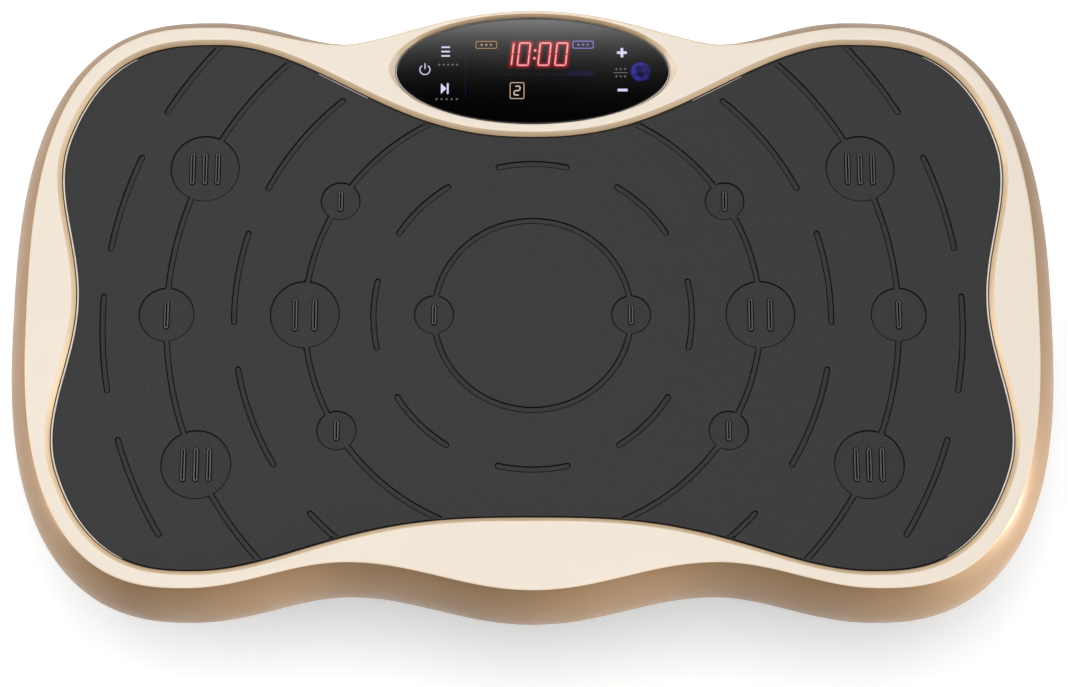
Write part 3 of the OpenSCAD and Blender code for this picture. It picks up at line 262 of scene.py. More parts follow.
class Solid:
    """Rings of points and the faces between them, gathered into one mesh."""

    def __init__(self):
        self.points = []
        self.faces = []
        self.finishes = []

    def ring(self, loop, z):
        first = len(self.points)
        self.points += [(x, y + RING_Y, h) for (x, y), h in zip(loop, np.broadcast_to(z, len(loop)))]
        return list(range(first, len(self.points)))

    def face(self, corners, finish):
        self.faces.append(corners)
        self.finishes.append(finish)

    def strip(self, a, b, finish=0):
        """Faces from ring a to ring b. Rings run anticlockwise, and faces look left of the way a to b."""
        each = np.broadcast_to(finish, len(a)).tolist()
        for i in range(len(a)):
            j = (i + 1) % len(a)
            self.face([a[i], b[i], b[j], a[j]], each[i])

    def strips(self, rings, finish=0):
        for a, b in zip(rings, rings[1:]):
            self.strip(a, b, finish)

    def fill(self, rings, finish=0, up=True):
        """A flat face inside the first ring, with the other rings as holes."""
        order = [i for ring in rings for i in ring]
        outlines = [[Vector(self.points[i]) for i in ring] for ring in rings]
        for triangle in tessellate_polygon(outlines):
            a, b, c = (order[k] for k in triangle)
            (ax, ay, _), (bx, by, _), (cx, cy, _) = (self.points[k] for k in (a, b, c))
            turn = (bx - ax) * (cy - ay) - (by - ay) * (cx - ax)
            if turn:
                self.face([a, b, c] if (turn > 0) == up else [a, c, b], finish)

    def fan(self, ring, middle, z, up=True):
        """A flat face of triangles round a point that sees the whole ring."""
        hub = self.ring([middle], z)[0]
        for a, b in zip(ring, ring[1:] + ring[:1]):
            self.face([hub, a, b] if up else [hub, b, a], 0)

    def build(self, name, finishes, sharp=SHARP):
        mesh = bpy.data.meshes.new(name)
        mesh.from_pydata([[c * MM for c in p] for p in self.points], [], self.faces)
        for finish in finishes:
            mesh.materials.append(finish)
        mesh.polygons.foreach_set("material_index", self.finishes)
        mesh.polygons.foreach_set("use_smooth", [True] * len(self.faces))
        mesh.set_sharp_from_angle(angle=math.radians(sharp))
        mesh.update()
        piece = bpy.data.objects.new(name, mesh)
        bpy.context.collection.objects.link(piece)
        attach(piece, "deck")
        return piece


# Finishes

# The part of the noise's range that is spread over a finish's own range
NOISE_LOW, NOISE_HIGH = 0.3, 0.7
NOISE_DETAIL = 3.0
GRAIN_DETAIL = 5.0
LAMP_PATCH = 1.5
LAMP_LOW, LAMP_HIGH = 0.94, 1.03


def tone(red, green, blue):
    """A colour as the eye reads it, out of 255, in the renderer's own scale."""
    share = [c / 255 for c in (red, green, blue)]
    return [c / 12.92 if c <= 0.04045 else ((c + 0.055) / 1.055) ** 2.4 for c in share] + [1.0]


class Finish:
    """A surface with a fine grain: its colour, gloss and relief vary with noise in the object's own space."""

    def __init__(self, name, colour, rough, metal=0.0, specular=0.5):
        self.material = bpy.data.materials.new(name)
        self.material.use_nodes = True
        self.nodes = self.material.node_tree.nodes
        self.links = self.material.node_tree.links
        self.shader = self.nodes["Principled BSDF"]
        self.shader.inputs["Base Color"].default_value = colour
        self.shader.inputs["Roughness"].default_value = rough
        self.shader.inputs["Metallic"].default_value = metal
        self.shader.inputs["Specular IOR Level"].default_value = specular
        self.colour = colour
        self.rough = rough
        self.place = self.nodes.new("ShaderNodeTexCoord").outputs["Object"]

    def noise(self, size, detail=NOISE_DETAIL):
        """Noise with features of about this size in mm."""
        node = self.nodes.new("ShaderNodeTexNoise")
        node.inputs["Scale"].default_value = 1 / (size * MM)
        node.inputs["Detail"].default_value = detail
        self.links.new(self.place, node.inputs["Vector"])
        return node.outputs["Fac"]

    def spread(self, value, low, high):
        node = self.nodes.new("ShaderNodeMapRange")
        node.inputs["From Min"].default_value = NOISE_LOW
        node.inputs["From Max"].default_value = NOISE_HIGH
        node.inputs["To Min"].default_value = low
        node.inputs["To Max"].default_value = high
        self.links.new(value, node.inputs["Value"])
        return node.outputs["Result"]

    def mottle(self, size, amount):
        """Lighter and darker patches of the base colour."""
        ramp = self.nodes.new("ShaderNodeValToRGB")
        for stop, share in zip(ramp.color_ramp.elements, (1 - amount, 1 + amount)):
            stop.color = [min(c * share, 1.0) for c in self.colour[:3]] + [1.0]
        ramp.color_ramp.elements[0].position = NOISE_LOW
        ramp.color_ramp.elements[1].position = NOISE_HIGH
        self.links.new(self.noise(size), ramp.inputs["Fac"])
        self.links.new(ramp.outputs["Color"], self.shader.inputs["Base Color"])
        return self

    def gloss(self, size, amount):
        spread = self.spread(self.noise(size), self.rough - amount, self.rough + amount)
        self.links.new(spread, self.shader.inputs["Roughness"])
        return self

    def grain(self, size, height):
        bump = self.nodes.new("ShaderNodeBump")
        bump.inputs["Distance"].default_value = height * MM
        bump.inputs["Strength"].default_value = 1.0
        self.links.new(self.noise(size, GRAIN_DETAIL), bump.inputs["Height"])
        self.links.new(bump.outputs["Normal"], self.shader.inputs["Normal"])
        return self

    def lit(self, colour):
        """Light of this colour, a little uneven."""
        self.shader.inputs["Emission Color"].default_value = colour
        uneven = self.spread(self.noise(LAMP_PATCH), LAMP_LOW, LAMP_HIGH)
        self.links.new(uneven, self.shader.inputs["Emission Strength"])
        return self

    def glow(self, colour):
        """Light that follows the mesh's own glow values."""
        value = self.nodes.new("ShaderNodeAttribute")
        value.attribute_name = "glow"
        self.shader.inputs["Emission Color"].default_value = colour
        self.links.new(value.outputs["Fac"], self.shader.inputs["Emission Strength"])
        return self


def paint(name, colour, rough, metal=0.0, patches=(40, 0.02), shine=(20, 0.05)):
    """Sprayed paint. Its patches of colour and of shine are each a size in mm and an amount."""
    finish = Finish(name, colour, rough, metal).mottle(*patches).gloss(*shine)
    return finish.grain(0.35, 0.003).material


def bare(name, colour):
    return Finish(name, colour, 0.6).mottle(8, 0.05).grain(0.6, 0.02).material


def glass(name):
    return Finish(name, tone(3, 3, 4), 0.05, specular=0.4)


CREAM = paint("cream_paint", tone(240, 227, 211), 0.42, patches=(60, 0.012), shine=(25, 0.04))
PALE = paint("pale_gold_edge", tone(238, 219, 195), 0.36, 0.1)
# The bevels' warm and tan: a gold tint of the paint with painted shade on top, tan the darkest and warm
# halfway
HALF_SHADED_WARM = paint("warm_gold_edge_painted_half_shade", tone(232, 206, 173), 0.36, 0.15)
SHADED_TAN = paint("tan_bevel_painted_shade", tone(226, 194, 155), 0.36, 0.2)
BRONZE = paint("champagne_skirt", tone(156, 123, 88), 0.42, 0.2, patches=(50, 0.02))
SHADE = bare("gap_shade", tone(46, 33, 23))
INNER = bare("bare_shell", tone(150, 132, 110))
RUBBER = Finish("mat_rubber", tone(56, 56, 57), 0.8, specular=0.25)
RUBBER = RUBBER.mottle(0.9, 0.16).gloss(0.6, 0.06).grain(0.45, 0.035).material
# Near-black rubber for the groove walls, the groove floor beside them, the tally slots and the mat's edge
# wall: painted shade
RUBBER_SHADE = Finish("rubber_painted_shade", tone(12, 12, 13), 0.9, specular=0.1)
RUBBER_SHADE = RUBBER_SHADE.mottle(0.8, 0.10).grain(0.45, 0.035).material
# Lighter rubber on the tops of the raised tally marks: a painted highlight
RUBBER_HIGHLIGHT = Finish("rubber_rim_painted_highlight", tone(92, 91, 90), 0.7, specular=0.3)
RUBBER_HIGHLIGHT = RUBBER_HIGHLIGHT.mottle(0.8, 0.08).grain(0.45, 0.02).material
SMOKED = glass("smoked_lens").mottle(30, 0.1).gloss(60, 0.01).material


# Top shell

SHELL_FINISHES = [CREAM, PALE, HALF_SHADED_WARM, SHADED_TAN, BRONZE, SHADE, INNER]
AS_CREAM, AS_PALE, AS_HALF_SHADED_WARM, AS_SHADED_TAN, AS_SKIRT, AS_SHADE, AS_INNER = range(len(SHELL_FINISHES))

deck = deck_outline(DECK_N)
well = well_outline(WELL_N)
front_half = deck[:, 1] < 0
fade = np.array([wave((abs(x) - NOSE_X) / NOSE_FADE, NOSE_FLARE, SKIRT_FLARE) for x in deck[:, 0]])
flare = np.where(front_half, SKIRT_FLARE, fade)


def skirt_profile(upper_n, lower_n):
    """(distance out from the outline, depth below the top) of each ring, from the top edge to the lip."""
    sweep = 2 * np.arctan(flare / SKIRT_DROP)
    radius = SKIRT_DROP / np.sin(sweep)
    turn = math.pi / 2 - sweep
    reach = DECK_EDGE_R * np.tan(turn / 2)
    rings = [(-reach - SUPPORT, 0 * reach)]
    for k in range(DECK_EDGE_N + 1):
        part = turn * k / DECK_EDGE_N
        rings.append((-reach + DECK_EDGE_R * np.sin(part), DECK_EDGE_R * (1 - np.cos(part))))
    start = reach / (radius * sweep)
    for k in range(1, upper_n + 1):
        left = sweep * (1 - start) * (1 - k / upper_n)
        rings.append((radius * (np.cos(left) - np.cos(sweep)), radius * (np.sin(sweep) - np.sin(left))))
    tuck_h = SKIRT_H - SKIRT_DROP
    tuck_r = (RIM_TUCK ** 2 + tuck_h ** 2) / (2 * RIM_TUCK)
    for k in range(1, lower_n + 1):
        h = (tuck_h - LIP_BEVEL) * k / lower_n
        rings.append((flare + math.sqrt(tuck_r ** 2 - h ** 2) - tuck_r, SKIRT_DROP + h + 0 * flare))
    return rings


def bevel(start, foot, depth):
    """(distance from the outline, depth) of a bevel with a rounded top edge, from its foot up to the flat."""
    turn = math.atan2(depth, np.max(start - foot))
    reach = BEVEL_R * math.tan(turn / 2)
    rings = []
    for k in range(BEVEL_N, -1, -1):
        part = turn * k / BEVEL_N
        rings.append((start + reach - BEVEL_R * math.sin(part), BEVEL_R * (1 - math.cos(part))))
    middle = (foot + (rings[0][0] - foot) / 2, (depth + rings[0][1]) / 2)
    return [(foot, depth), middle] + rings + [(start + reach + SUPPORT, 0.0)]


def shoulder(shell, rise):
    """The rounded top of a bevel, and the flat step beside it."""
    shell.strips(rise[-SHOULDER_N - 1:-1], AS_PALE)
    shell.strip(rise[-2], rise[-1], AS_CREAM)


def well_walls(shell):
    """The well's floor, the lip beside the mat, the gap and the bevel. Gives the ring at the top."""

    def rings(profile):
        return [shell.ring(outset(well, out), TOP_Z - drop) for out, drop in profile]

    facing_side = np.abs((outset(well, 1.0) - well)[:, 0])
    start = SIDE_ROOM * facing_side
    foot = start - BEVEL_W
    lip_in = LIP_FIT - MAT_IN
    lip_out = np.maximum(foot - GAP_W, lip_in + LIP_LEAST)
    lip_top = LIP_TOP + LIP_SINK * (1 - facing_side)
    lip_foot = lip_top + LIP_ROUND
    floor = shell.ring(outset(well, lip_in), WELL_Z)
    shell.fill([floor], AS_INNER)
    lip_flat = [(lip_in + LIP_ROUND, lip_top), (lip_out - LIP_ROUND, lip_top)]
    lip = rings([(lip_in, lip_foot)] + lip_flat + [(lip_out, lip_foot)])
    gap = rings([(lip_out, GAP_D), (foot, GAP_D)])
    rise = rings(bevel(start, foot, BEVEL_W))
    # The lip is painted shade at the front and back, and keeps the cream paint at the sides
    shell.strips([floor] + lip, np.where(facing_side > LIP_SHOWS, AS_CREAM, AS_SHADE))
    shell.strips([lip[-1]] + gap + [rise[0]], AS_SHADE)
    # The bevel is painted tan at its foot and warm above it: painted shade toward the gap
    shell.strip(rise[0], rise[1], AS_SHADED_TAN)
    shell.strips(rise[1:-SHOULDER_N], AS_HALF_SHADED_WARM)
    shoulder(shell, rise)
    return rise[-1]


def skirt_walls(shell):
    """The skirt, outside and inside. Gives the ring at its top and the ring of the ceiling inside it."""
    profile = skirt_profile(SKIRT_N, SKIRT_N)
    fall = [shell.ring(outset(deck, out), TOP_Z - drop) for out, drop in profile]
    shell.strip(fall[0], fall[1], AS_CREAM)
    shell.strips(fall[1:DECK_EDGE_N], AS_PALE)
    shell.strips(fall[DECK_EDGE_N - 1:], AS_SKIRT)

    lip_out = profile[-1][0] - LIP_BEVEL
    lip_in = profile[-1][0] - SHELL_T + LIP_BEVEL
    lip = [shell.ring(outset(deck, out), TOP_Z - SKIRT_H) for out in (lip_out, lip_in)]
    behind = [(out - SHELL_T, drop) for out, drop in reversed(profile) if drop.min() > SHELL_T]
    back = [shell.ring(outset(deck, out), TOP_Z - drop) for out, drop in behind]
    ceiling = shell.ring(outset(deck, -SHELL_T), TOP_Z - SHELL_T)
    shell.strips([fall[-1]] + lip + [back[0]], AS_SKIRT)
    shell.strips(back + [ceiling], AS_INNER)
    return fall[0], ceiling


def well_underside(shell):
    """The well seen from inside the shell. Gives the ring where it meets the ceiling."""
    wall = [shell.ring(outset(well, SHELL_T), z) for z in (TOP_Z - SHELL_T, WELL_Z - SHELL_T)]
    shell.strips(wall, AS_INNER)
    shell.fill([wall[1]], AS_INNER, up=False)
    return wall[0]


def pocket_walls(shell):
    """The display's ledge, lip, gap and bevel. Gives the ring at the top and the ring at the ceiling."""
    lens = circle(LENS_RX, OVAL_N, (0, LENS_Y), LENS_RY)

    def oval(grow, z):
        return shell.ring(outset(lens, grow), z)

    ledge_z = LENS_LO[2]
    under_z = ledge_z - LEDGE_T
    wall = LENS_FIT + POCKET_WALL
    pad = [oval(wall, TOP_Z - SHELL_T), oval(wall, under_z), oval(-LEDGE_W, under_z), oval(-LEDGE_W, ledge_z),
           oval(LENS_FIT, ledge_z)]
    shell.strips(pad, AS_INNER)

    toward_back = (outset(lens, 1.0) - lens)[:, 1]
    rim = LENS_FIT + POCKET_LIP * (1 - np.maximum(toward_back, 0.0))
    foot = rim + POCKET_GAP
    lip_z = LENS_HI[2] + POCKET_LIP_RISE
    lip = [oval(LENS_FIT, lip_z - LIP_ROUND), oval(LENS_FIT + LIP_ROUND / 2, lip_z), oval(rim, lip_z)]
    gap = [oval(rim, TOP_Z - POCKET_GAP_D), oval(foot, TOP_Z - POCKET_GAP_D)]
    bevel_w = np.interp(toward_back, (-1, 0, 1), (POCKET_BEVEL_FRONT, POCKET_BEVEL_END, POCKET_BEVEL_BACK))
    rise = [oval(out, TOP_Z - drop) for out, drop in bevel(foot + bevel_w, foot, LENS_DROP)]
    shell.strips([pad[-1]] + lip, AS_CREAM)
    shell.strips([lip[-1]] + gap + [rise[0]], AS_SHADE)
    # Painted shade: the bevel is tan at the back of the pocket, warm a little further round, pale elsewhere
    shaded_side = [toward_back > POCKET_SHADE_FROM, toward_back > POCKET_HALF_SHADE_FROM]
    shell.strips(rise[:-SHOULDER_N], np.select(shaded_side, [AS_SHADED_TAN, AS_HALF_SHADED_WARM], AS_PALE))
    shoulder(shell, rise)
    return rise[-1], pad[0]


def deck_shell():
    shell = Solid()
    well_edge = well_walls(shell)
    deck_edge, ceiling = skirt_walls(shell)
    well_foot = well_underside(shell)
    mouth, pocket_foot = pocket_walls(shell)
    shell.fill([deck_edge, well_edge, mouth], AS_CREAM)
    shell.fill([ceiling, well_foot, pocket_foot], AS_INNER, up=False)
    return shell.build("deck_shell", SHELL_FINISHES)


# Tread mat

def arc_distance(points, radius, middle=0.0, half=180.0):
    """Distance to an arc about the origin, its middle and half its sweep in degrees."""
    angle = (np.degrees(np.arctan2(points[:, 1], points[:, 0])) - middle + 180) % 360 - 180
    tip = np.radians(middle + np.where(angle < 0, -half, half))
    to_tip = np.hypot(points[:, 0] - radius * np.cos(tip), points[:, 1] - radius * np.sin(tip))
    return np.where(np.abs(angle) <= half, np.abs(np.hypot(points[:, 0], points[:, 1]) - radius), to_tip)


def arc(radius, start, end, step):
    """Points along an arc about the origin, its ends in degrees and the step in mm."""
    count = max(int(abs(math.radians(end - start)) * radius / step), ARC_LEAST_N)
    angle = np.radians(np.linspace(start, end, count))
    return np.stack([radius * np.cos(angle), radius * np.sin(angle)], 1)


class Groove:
    """A groove along an arc, or a whole ring."""

    def __init__(self, radius, middle=0.0, half=180.0):
        self.radius, self.middle, self.half = radius, middle, half

    def distance(self, points):
        return arc_distance(points, self.radius, self.middle, self.half) - GROOVE_W / 2

    def outlines(self, grow):
        w = GROOVE_W / 2 + grow
        r = self.radius
        if self.half == 180:
            return [circle(r + side * w, int(2 * math.pi * r / ARC_STEP)) for side in (-1, 1)]
        low, high = self.middle - self.half, self.middle + self.half
        tips = [r * np.array([math.cos(math.radians(a)), math.sin(math.radians(a))]) for a in (low, high)]
        return [np.concatenate([
            arc(r + w, low, high, ARC_STEP)[:-1],
            tips[1] + arc(w, high, high + 180, TIP_STEP)[:-1],
            arc(r - w, high, low, ARC_STEP)[:-1],
            tips[0] + arc(w, low + 180, low + 360, TIP_STEP)[:-1]])]


class Disc:
    """A round recess."""

    def __init__(self, centre, diameter):
        self.centre, self.radius = np.array(centre), diameter / 2

    def distance(self, points):
        return np.hypot(*(points - self.centre).T) - self.radius

    def outlines(self, grow):
        return [circle(self.radius + grow, int(2 * math.pi * self.radius / DISC_STEP), self.centre)]


class Stroke:
    """An upright bar with round ends."""

    def __init__(self, centre, width, length):
        self.centre, self.width, self.reach = np.array(centre), width, (length - width) / 2

    def distance(self, points):
        off = points - self.centre
        along = off[:, 1] - np.clip(off[:, 1], -self.reach, self.reach)
        return np.hypot(off[:, 0], along) - self.width / 2

    def outlines(self, grow):
        w = self.width / 2 + grow
        side = np.linspace(-self.reach, self.reach, STROKE_SIDE_N)[1:-1]
        top = arc(w, 0, 180, STROKE_STEP) + (0, self.reach)
        low = arc(w, 180, 360, STROKE_STEP) - (0, self.reach)
        left = np.stack([np.full(len(side), -w), -side], 1)
        right = np.stack([np.full(len(side), w), side], 1)
        return [np.concatenate([top, left, low, right]) + self.centre]


def both_sides(dashes):
    return dashes + [(180 - middle, half) for middle, half in dashes]


def tread():
    """The grooves and recesses, the raised tally marks in them, and the slots of those marks."""
    hollows = [Groove(RINGS[name]) for name in "ACE"]
    for name, dashes in (("B", DASHES_B), ("D", both_sides(DASHES_D)), ("F", both_sides(DASHES_F))):
        hollows += [Groove(RINGS[name], *dash) for dash in dashes]
    marks, slots = [], []
    for name, angles, size, count in STANCES:
        length = size * TALLY_LEN[count]
        for angle in angles:
            x, y = (RINGS[name] * f(math.radians(angle)) for f in (math.cos, math.sin))
            hollows.append(Disc((x, y), size))
            for i in range(count):
                at = (x + (i - (count - 1) / 2) * TALLY_PITCH[count], y)
                marks.append(Stroke(at, TALLY_W, length))
                slots.append(Stroke(at, TALLY_SLOT_W, length - TALLY_W + TALLY_SLOT_W))
    return hollows, marks, slots


# A groove's wall: distance from its outline, and the share of the depth reached there
WALL_AT = np.array([-0.62, -0.50, -0.16, -0.06, 0.06, 0.16, 0.36, 0.48])
WALL_SHARE = np.array([1.0, 1.0, 0.97, 0.78, 0.28, 0.07, 0.0, 0.0])
# The band about a groove's wall that is painted near-black as painted shade
SHADE_BAND_FROM, SHADE_BAND_TO = -0.50, 0.06
SLOT_SQUEEZE = 0.5
TRACE_NEAR = 0.01

# The mat's rounded edge, how many of its rings look like the top, the rest being painted shade, and
# the border that the pattern keeps clear of
MAT_EDGE_R = 0.6
MAT_TOP_RINGS = 4
MAT_BORDER = 0.3
MAT_SHARP = 75.0

# How the mat's top is cut into triangles: only those inside its border, and points this near are one
INSIDE_ONLY = 1
SAME_POINT = 1e-4
TINY = 1e-9


def inside(points, loop):
    """Which points lie inside a closed outline."""
    found = np.zeros(len(points), bool)
    for (ax, ay), (bx, by) in zip(loop, np.roll(loop, -1, 0)):
        crosses = (ay > points[:, 1]) != (by > points[:, 1])
        if crosses.any():
            found ^= crosses & (points[:, 0] < ax + (points[:, 1] - ay) * (bx - ax) / ((by - ay) or TINY))
    return found


def tread_mat():
    hollows, marks, slots = tread()
    as_rubber, as_painted_shade, as_painted_highlight = range(3)

    def nearest(shapes, points):
        return np.min([shape.distance(points) for shape in shapes], axis=0)

    def recess(points):
        return np.maximum(nearest(hollows, points), -nearest(marks, points))

    def slot(points):
        return nearest(slots, points)

    def height(points):
        sunk = GROOVE_DEPTH * np.interp(recess(points), WALL_AT, WALL_SHARE)
        cut = GROOVE_DEPTH / 2 * np.interp(slot(points), WALL_AT * SLOT_SQUEEZE, WALL_SHARE)
        return MAT_Z - np.maximum(sunk, cut)

    edge = outset(well, -MAT_IN)
    rim = outset(edge, -MAT_EDGE_R)
    border = outset(rim, -SUPPORT)
    room = outset(rim, -MAT_BORDER)
    coords = list(border)
    edges = [(i, (i + 1) % len(border)) for i in range(len(border))]

    def trace(outline, field, at):
        """Adds an outline, broken where it leaves the mat or runs inside another hollow."""
        keep = (np.abs(field(outline) - at) < TRACE_NEAR) & inside(outline, room)
        index = {}
        for i in np.flatnonzero(keep):
            index[i] = len(coords)
            coords.append(outline[i])
        for i in index:
            j = (i + 1) % len(outline)
            if j in index:
                edges.append((index[i], index[j]))

    for at in WALL_AT:
        for shapes, grow, field, level in ((hollows, at, recess, at), (marks, -at, recess, at),
                                           (slots, at * SLOT_SQUEEZE, slot, at * SLOT_SQUEEZE)):
            for shape in shapes:
                for outline in shape.outlines(grow):
                    trace(outline, field, level)

    whole = [list(range(len(border)))]
    points, _, triangles, sources, *_ = delaunay_2d_cdt(
        [Vector(c) for c in coords], edges, whole, INSIDE_ONLY, SAME_POINT)
    points = np.array([tuple(p) for p in points])
    place_of = {source: i for i, found in enumerate(sources) for source in found}
    mat = Solid()
    mat.ring(points, height(points))
    middles = points[np.array(triangles)].mean(axis=1)
    depth = recess(middles)
    # Groove walls with a strip of floor beside them, and the tally slots, are painted near-black as painted
    # shade
    in_slot = slot(middles) < SHADE_BAND_TO * SLOT_SQUEEZE
    in_painted_shade = ((depth > SHADE_BAND_FROM) & (depth < SHADE_BAND_TO)) | in_slot
    # The tops of the tally marks get the lighter rubber, a painted highlight
    finishes = np.where(in_painted_shade, as_painted_shade, np.where(nearest(marks, middles) < 0, as_painted_highlight, as_rubber))
    for triangle, finish in zip(triangles, finishes.tolist()):
        mat.face(list(triangle), finish)

    top = height(rim)
    rings = [[place_of[i] for i in range(len(border))]]
    for k in range(EDGE_N + 1):
        part = math.pi / 2 * k / EDGE_N
        drop = MAT_EDGE_R * (1 - math.cos(part))
        rings.append(mat.ring(outset(rim, MAT_EDGE_R * math.sin(part)), top - drop))
    foot = mat.ring(edge, WELL_Z)
    mat.strips(rings[:MAT_TOP_RINGS], as_rubber)
    # The lower part of the mat's rounded edge and its wall are painted near-black as painted shade
    mat.strips(rings[MAT_TOP_RINGS - 1:] + [foot], as_painted_shade)
    mat.fill([foot], as_rubber, up=False)
    return mat.build("tread_mat", [RUBBER, RUBBER_SHADE, RUBBER_HIGHLIGHT], MAT_SHARP)


# Display

MARK_T = 0.05
SHEET_T = MARK_T / 4
DOT_N = 24
CORNER_STEP = 15
SEGMENTS = {"a": ((0, 1), (1, 1)), "b": ((1, 0.5), (1, 1)), "c": ((1, 0), (1, 0.5)), "d": ((0, 0), (1, 0)),
            "e": ((0, 0), (0, 0.5)), "f": ((0, 0.5), (0, 1)), "g": ((0, 0.5), (1, 0.5))}
ZERO = "abcdef"
ONE = "bc"
TWO = "abged"
SLANT = 0.107
SEGMENT_W = 0.75
SEGMENT_GAP = 0.12

# Layout of the display from the middle of the lens: the clock's digits and their halo
DIGIT_LOW = 3.1
DIGIT_H = 12.2
DIGIT_W = 5.5
ONE_X = -16.5
ZERO_X = (-7.9, 2.7, 11.4)
COLON_AT = [(0.9, 6.9), (1.3, 11.2)]
COLON_D = 1.3
COLON_LINE = 1e-3
HALO_LO, HALO_HI = (-15.0, -0.5), (23.0, 19.0)
HALO_CELL = 0.25
HALO_LIGHT = 0.66
HALO_REACH = 0.55
HALO_POWER = 1.1
HALO_END = 3.0

# Keys: power ring with its bar, play and pause, three menu bars, plus and minus
POWER_AT = (-55.4, 0.6)
POWER_R = 2.6
POWER_LINE = 0.5
POWER_OPEN = (125, 415)
POWER_N = 40
POWER_BAR_UP, POWER_BAR_LEN = 2.0, 3.2
PLAY_AT = (-45.2, -9.7)
PLAY_BACK, PLAY_TIP = 1.9, 0.9
PLAY_HALF = 2.9
PAUSE_X, PAUSE_W = 1.6, 0.9
MENU_AT = (-44.8, 10.6)
MENU_PITCH = 2.4
MENU_W, MENU_H = 4.4, 0.8
PLUS_AT, MINUS_AT = (46.0, 10.0), (46.2, -10.5)
SIGN_LEN, SIGN_W = 5.1, 1.4

# Labels: rows of dots as (middle, count, pitch), a dividing line, and the badges' dots
LABEL_D = 1.0
LABEL_ROWS = [((-43.5, 3.4), 5, 2.3), ((-44.1, -15.5), 5, 2.6), ((45.3, 1.0), 3, 2.2), ((45.3, -3.0), 3, 2.2)]
LABEL_LINE = ((45.2, -1.0), 7.6, 0.35)
AMBER_AT, VIOLET_AT = (-23.9, 14.3), (26.0, 14.4)
AMBER_FRAME, VIOLET_FRAME = (11.0, 4.2, 0.9, 0.32), (11.0, 4.4, 1.0, 0.5)
BADGE_DOTS = (3, 2.4, 1.1)
PROGRAM_AT = (-8.0, -10.8)
PROGRAM_FRAME = (7.4, 9.0, 0.8, 0.3)
PROGRAM_DIGIT = (-9.6, -13.2, 2.7, 4.8)
PROGRAM_LINE = 0.6

# Dim marks behind the glass, as (middle, width, height)
DIM_BARS = [((24.6, -1.4), 13.6, 2.6), ((-34.4, 1.4), 0.5, 32.0)]
# The unlit marks are given a faint painted glow
UNLIT_BARS = [((-25.5, -2.0), 2.5, 1.4), ((-13.0, -2.0), 5.5, 1.4), ((-4.5, -2.0), 5.0, 1.4),
              ((4.5, -2.0), 6.0, 1.4), ((13.5, -2.0), 5.5, 1.4)]

# Round infrared window: a bright crescent with facets, over a dark middle, with a soft edge
WINDOW_AT = np.array((55.6, -0.5))
WINDOW_R = 5.4
WINDOW_HALF = 6.0
WINDOW_CELL = 0.3
WINDOW_SOFT = 0.16
CRESCENT, CRESCENT_X, CRESCENT_Y = 0.55, -0.35, 0.15
FACET_WAVES = ((3.1, 5.3, 0.0), (4.3, -2.9, 0.8))
FACET_LEAST = -0.4
FACET, FACET_X = 0.7, -0.4
WINDOW_BASE, WINDOW_CRESCENT, WINDOW_FACETS = 0.1, 0.9, 0.35
WINDOW_LEAST = 0.05


def smoked_lens():
    lens = Solid()

    def oval(grow, z):
        return lens.ring(circle(LENS_RX + grow, OVAL_N, (0, LENS_Y), LENS_RY + grow), z)

    edge = [(-EDGE_R - LENS_STEP, 0.0)]
    for k in range(EDGE_N + 1):
        part = math.pi / 2 * k / EDGE_N
        edge.append((EDGE_R * (math.sin(part) - 1), EDGE_R * (1 - math.cos(part))))
    rings = [oval(grow, LENS_HI[2] - drop) for grow, drop in edge] + [oval(0.0, LENS_LO[2])]
    lens.fill([rings[0]])
    lens.strips(rings)
    lens.fill([rings[-1]], up=False)
    return lens.build("smoked_lens_plate", [SMOKED])


def rounded(centre, width, height, radius):
    x, y = centre
    w, h = width / 2 - radius, height / 2 - radius
    turn = np.radians(np.arange(0, 91, CORNER_STEP))
    loop = []
    for sx, sy, start in ((1, 1, 0), (-1, 1, 90), (-1, -1, 180), (1, -1, 270)):
        for a in turn + math.radians(start):
            loop.append((x + sx * w + radius * math.cos(a), y + sy * h + radius * math.sin(a)))
    return np.array(loop)


class Marks(Solid):
    """Thin plates on the lens, each from its outline in mm about the middle of the lens."""

    def plate(self, outline, hole=None, middle=None):
        """A plate, with a hole, or as a fan about a middle that sees the whole outline."""
        loop = np.array(outline) + (0, LENS_Y)
        z = LENS_HI[2]
        top = self.ring(loop, z + MARK_T)
        low = self.ring(loop, z)
        self.strip(top, low)
        if middle is not None:
            hub = np.array(middle) + (0, LENS_Y)
            self.fan(top, hub, z + MARK_T)
            self.fan(low, hub, z, up=False)
        elif hole is not None:
            gap = np.array(hole) + (0, LENS_Y)
            gap_top = self.ring(gap, z + MARK_T)
            gap_low = self.ring(gap, z)
            self.strips([low, gap_low, gap_top, top])
        else:
            self.fill([top])
            self.fill([low], up=False)

    def bar(self, p, q, width):
        """A bar between two points with pointed ends, as in a segment display."""
        p, q = np.array(p), np.array(q)
        along = (q - p) / np.linalg.norm(q - p)
        side = np.array([-along[1], along[0]]) * width / 2
        inset = along * width / 2
        self.plate([p, p + inset - side, q - inset - side, q, q - inset + side, p + inset + side])

    def box(self, centre, width, height):
        x, y = centre
        w, h = width / 2, height / 2
        self.plate([(x - w, y - h), (x + w, y - h), (x + w, y + h), (x - w, y + h)])

    def dot(self, centre, diameter):
        self.plate(circle(diameter / 2, DOT_N, centre))

    def dots(self, centre, count, pitch, diameter):
        for i in range(count):
            self.dot((centre[0] + (i - (count - 1) / 2) * pitch, centre[1]), diameter)

    def frame(self, centre, width, height, radius, line):
        self.plate(rounded(centre, width, height, radius),
                   rounded(centre, width - 2 * line, height - 2 * line, radius - line))


def segments(letters, x, low, width, height):
    """The ends of each lit segment of a digit, slanted, with a gap at each end."""
    found = []
    for letter in letters:
        p, q = (np.array([x + u * width + SLANT * v * height, low + v * height]) for u, v in SEGMENTS[letter])
        step = (q - p) / np.linalg.norm(q - p) * SEGMENT_GAP
        found.append((p + step, q - step))
    return found


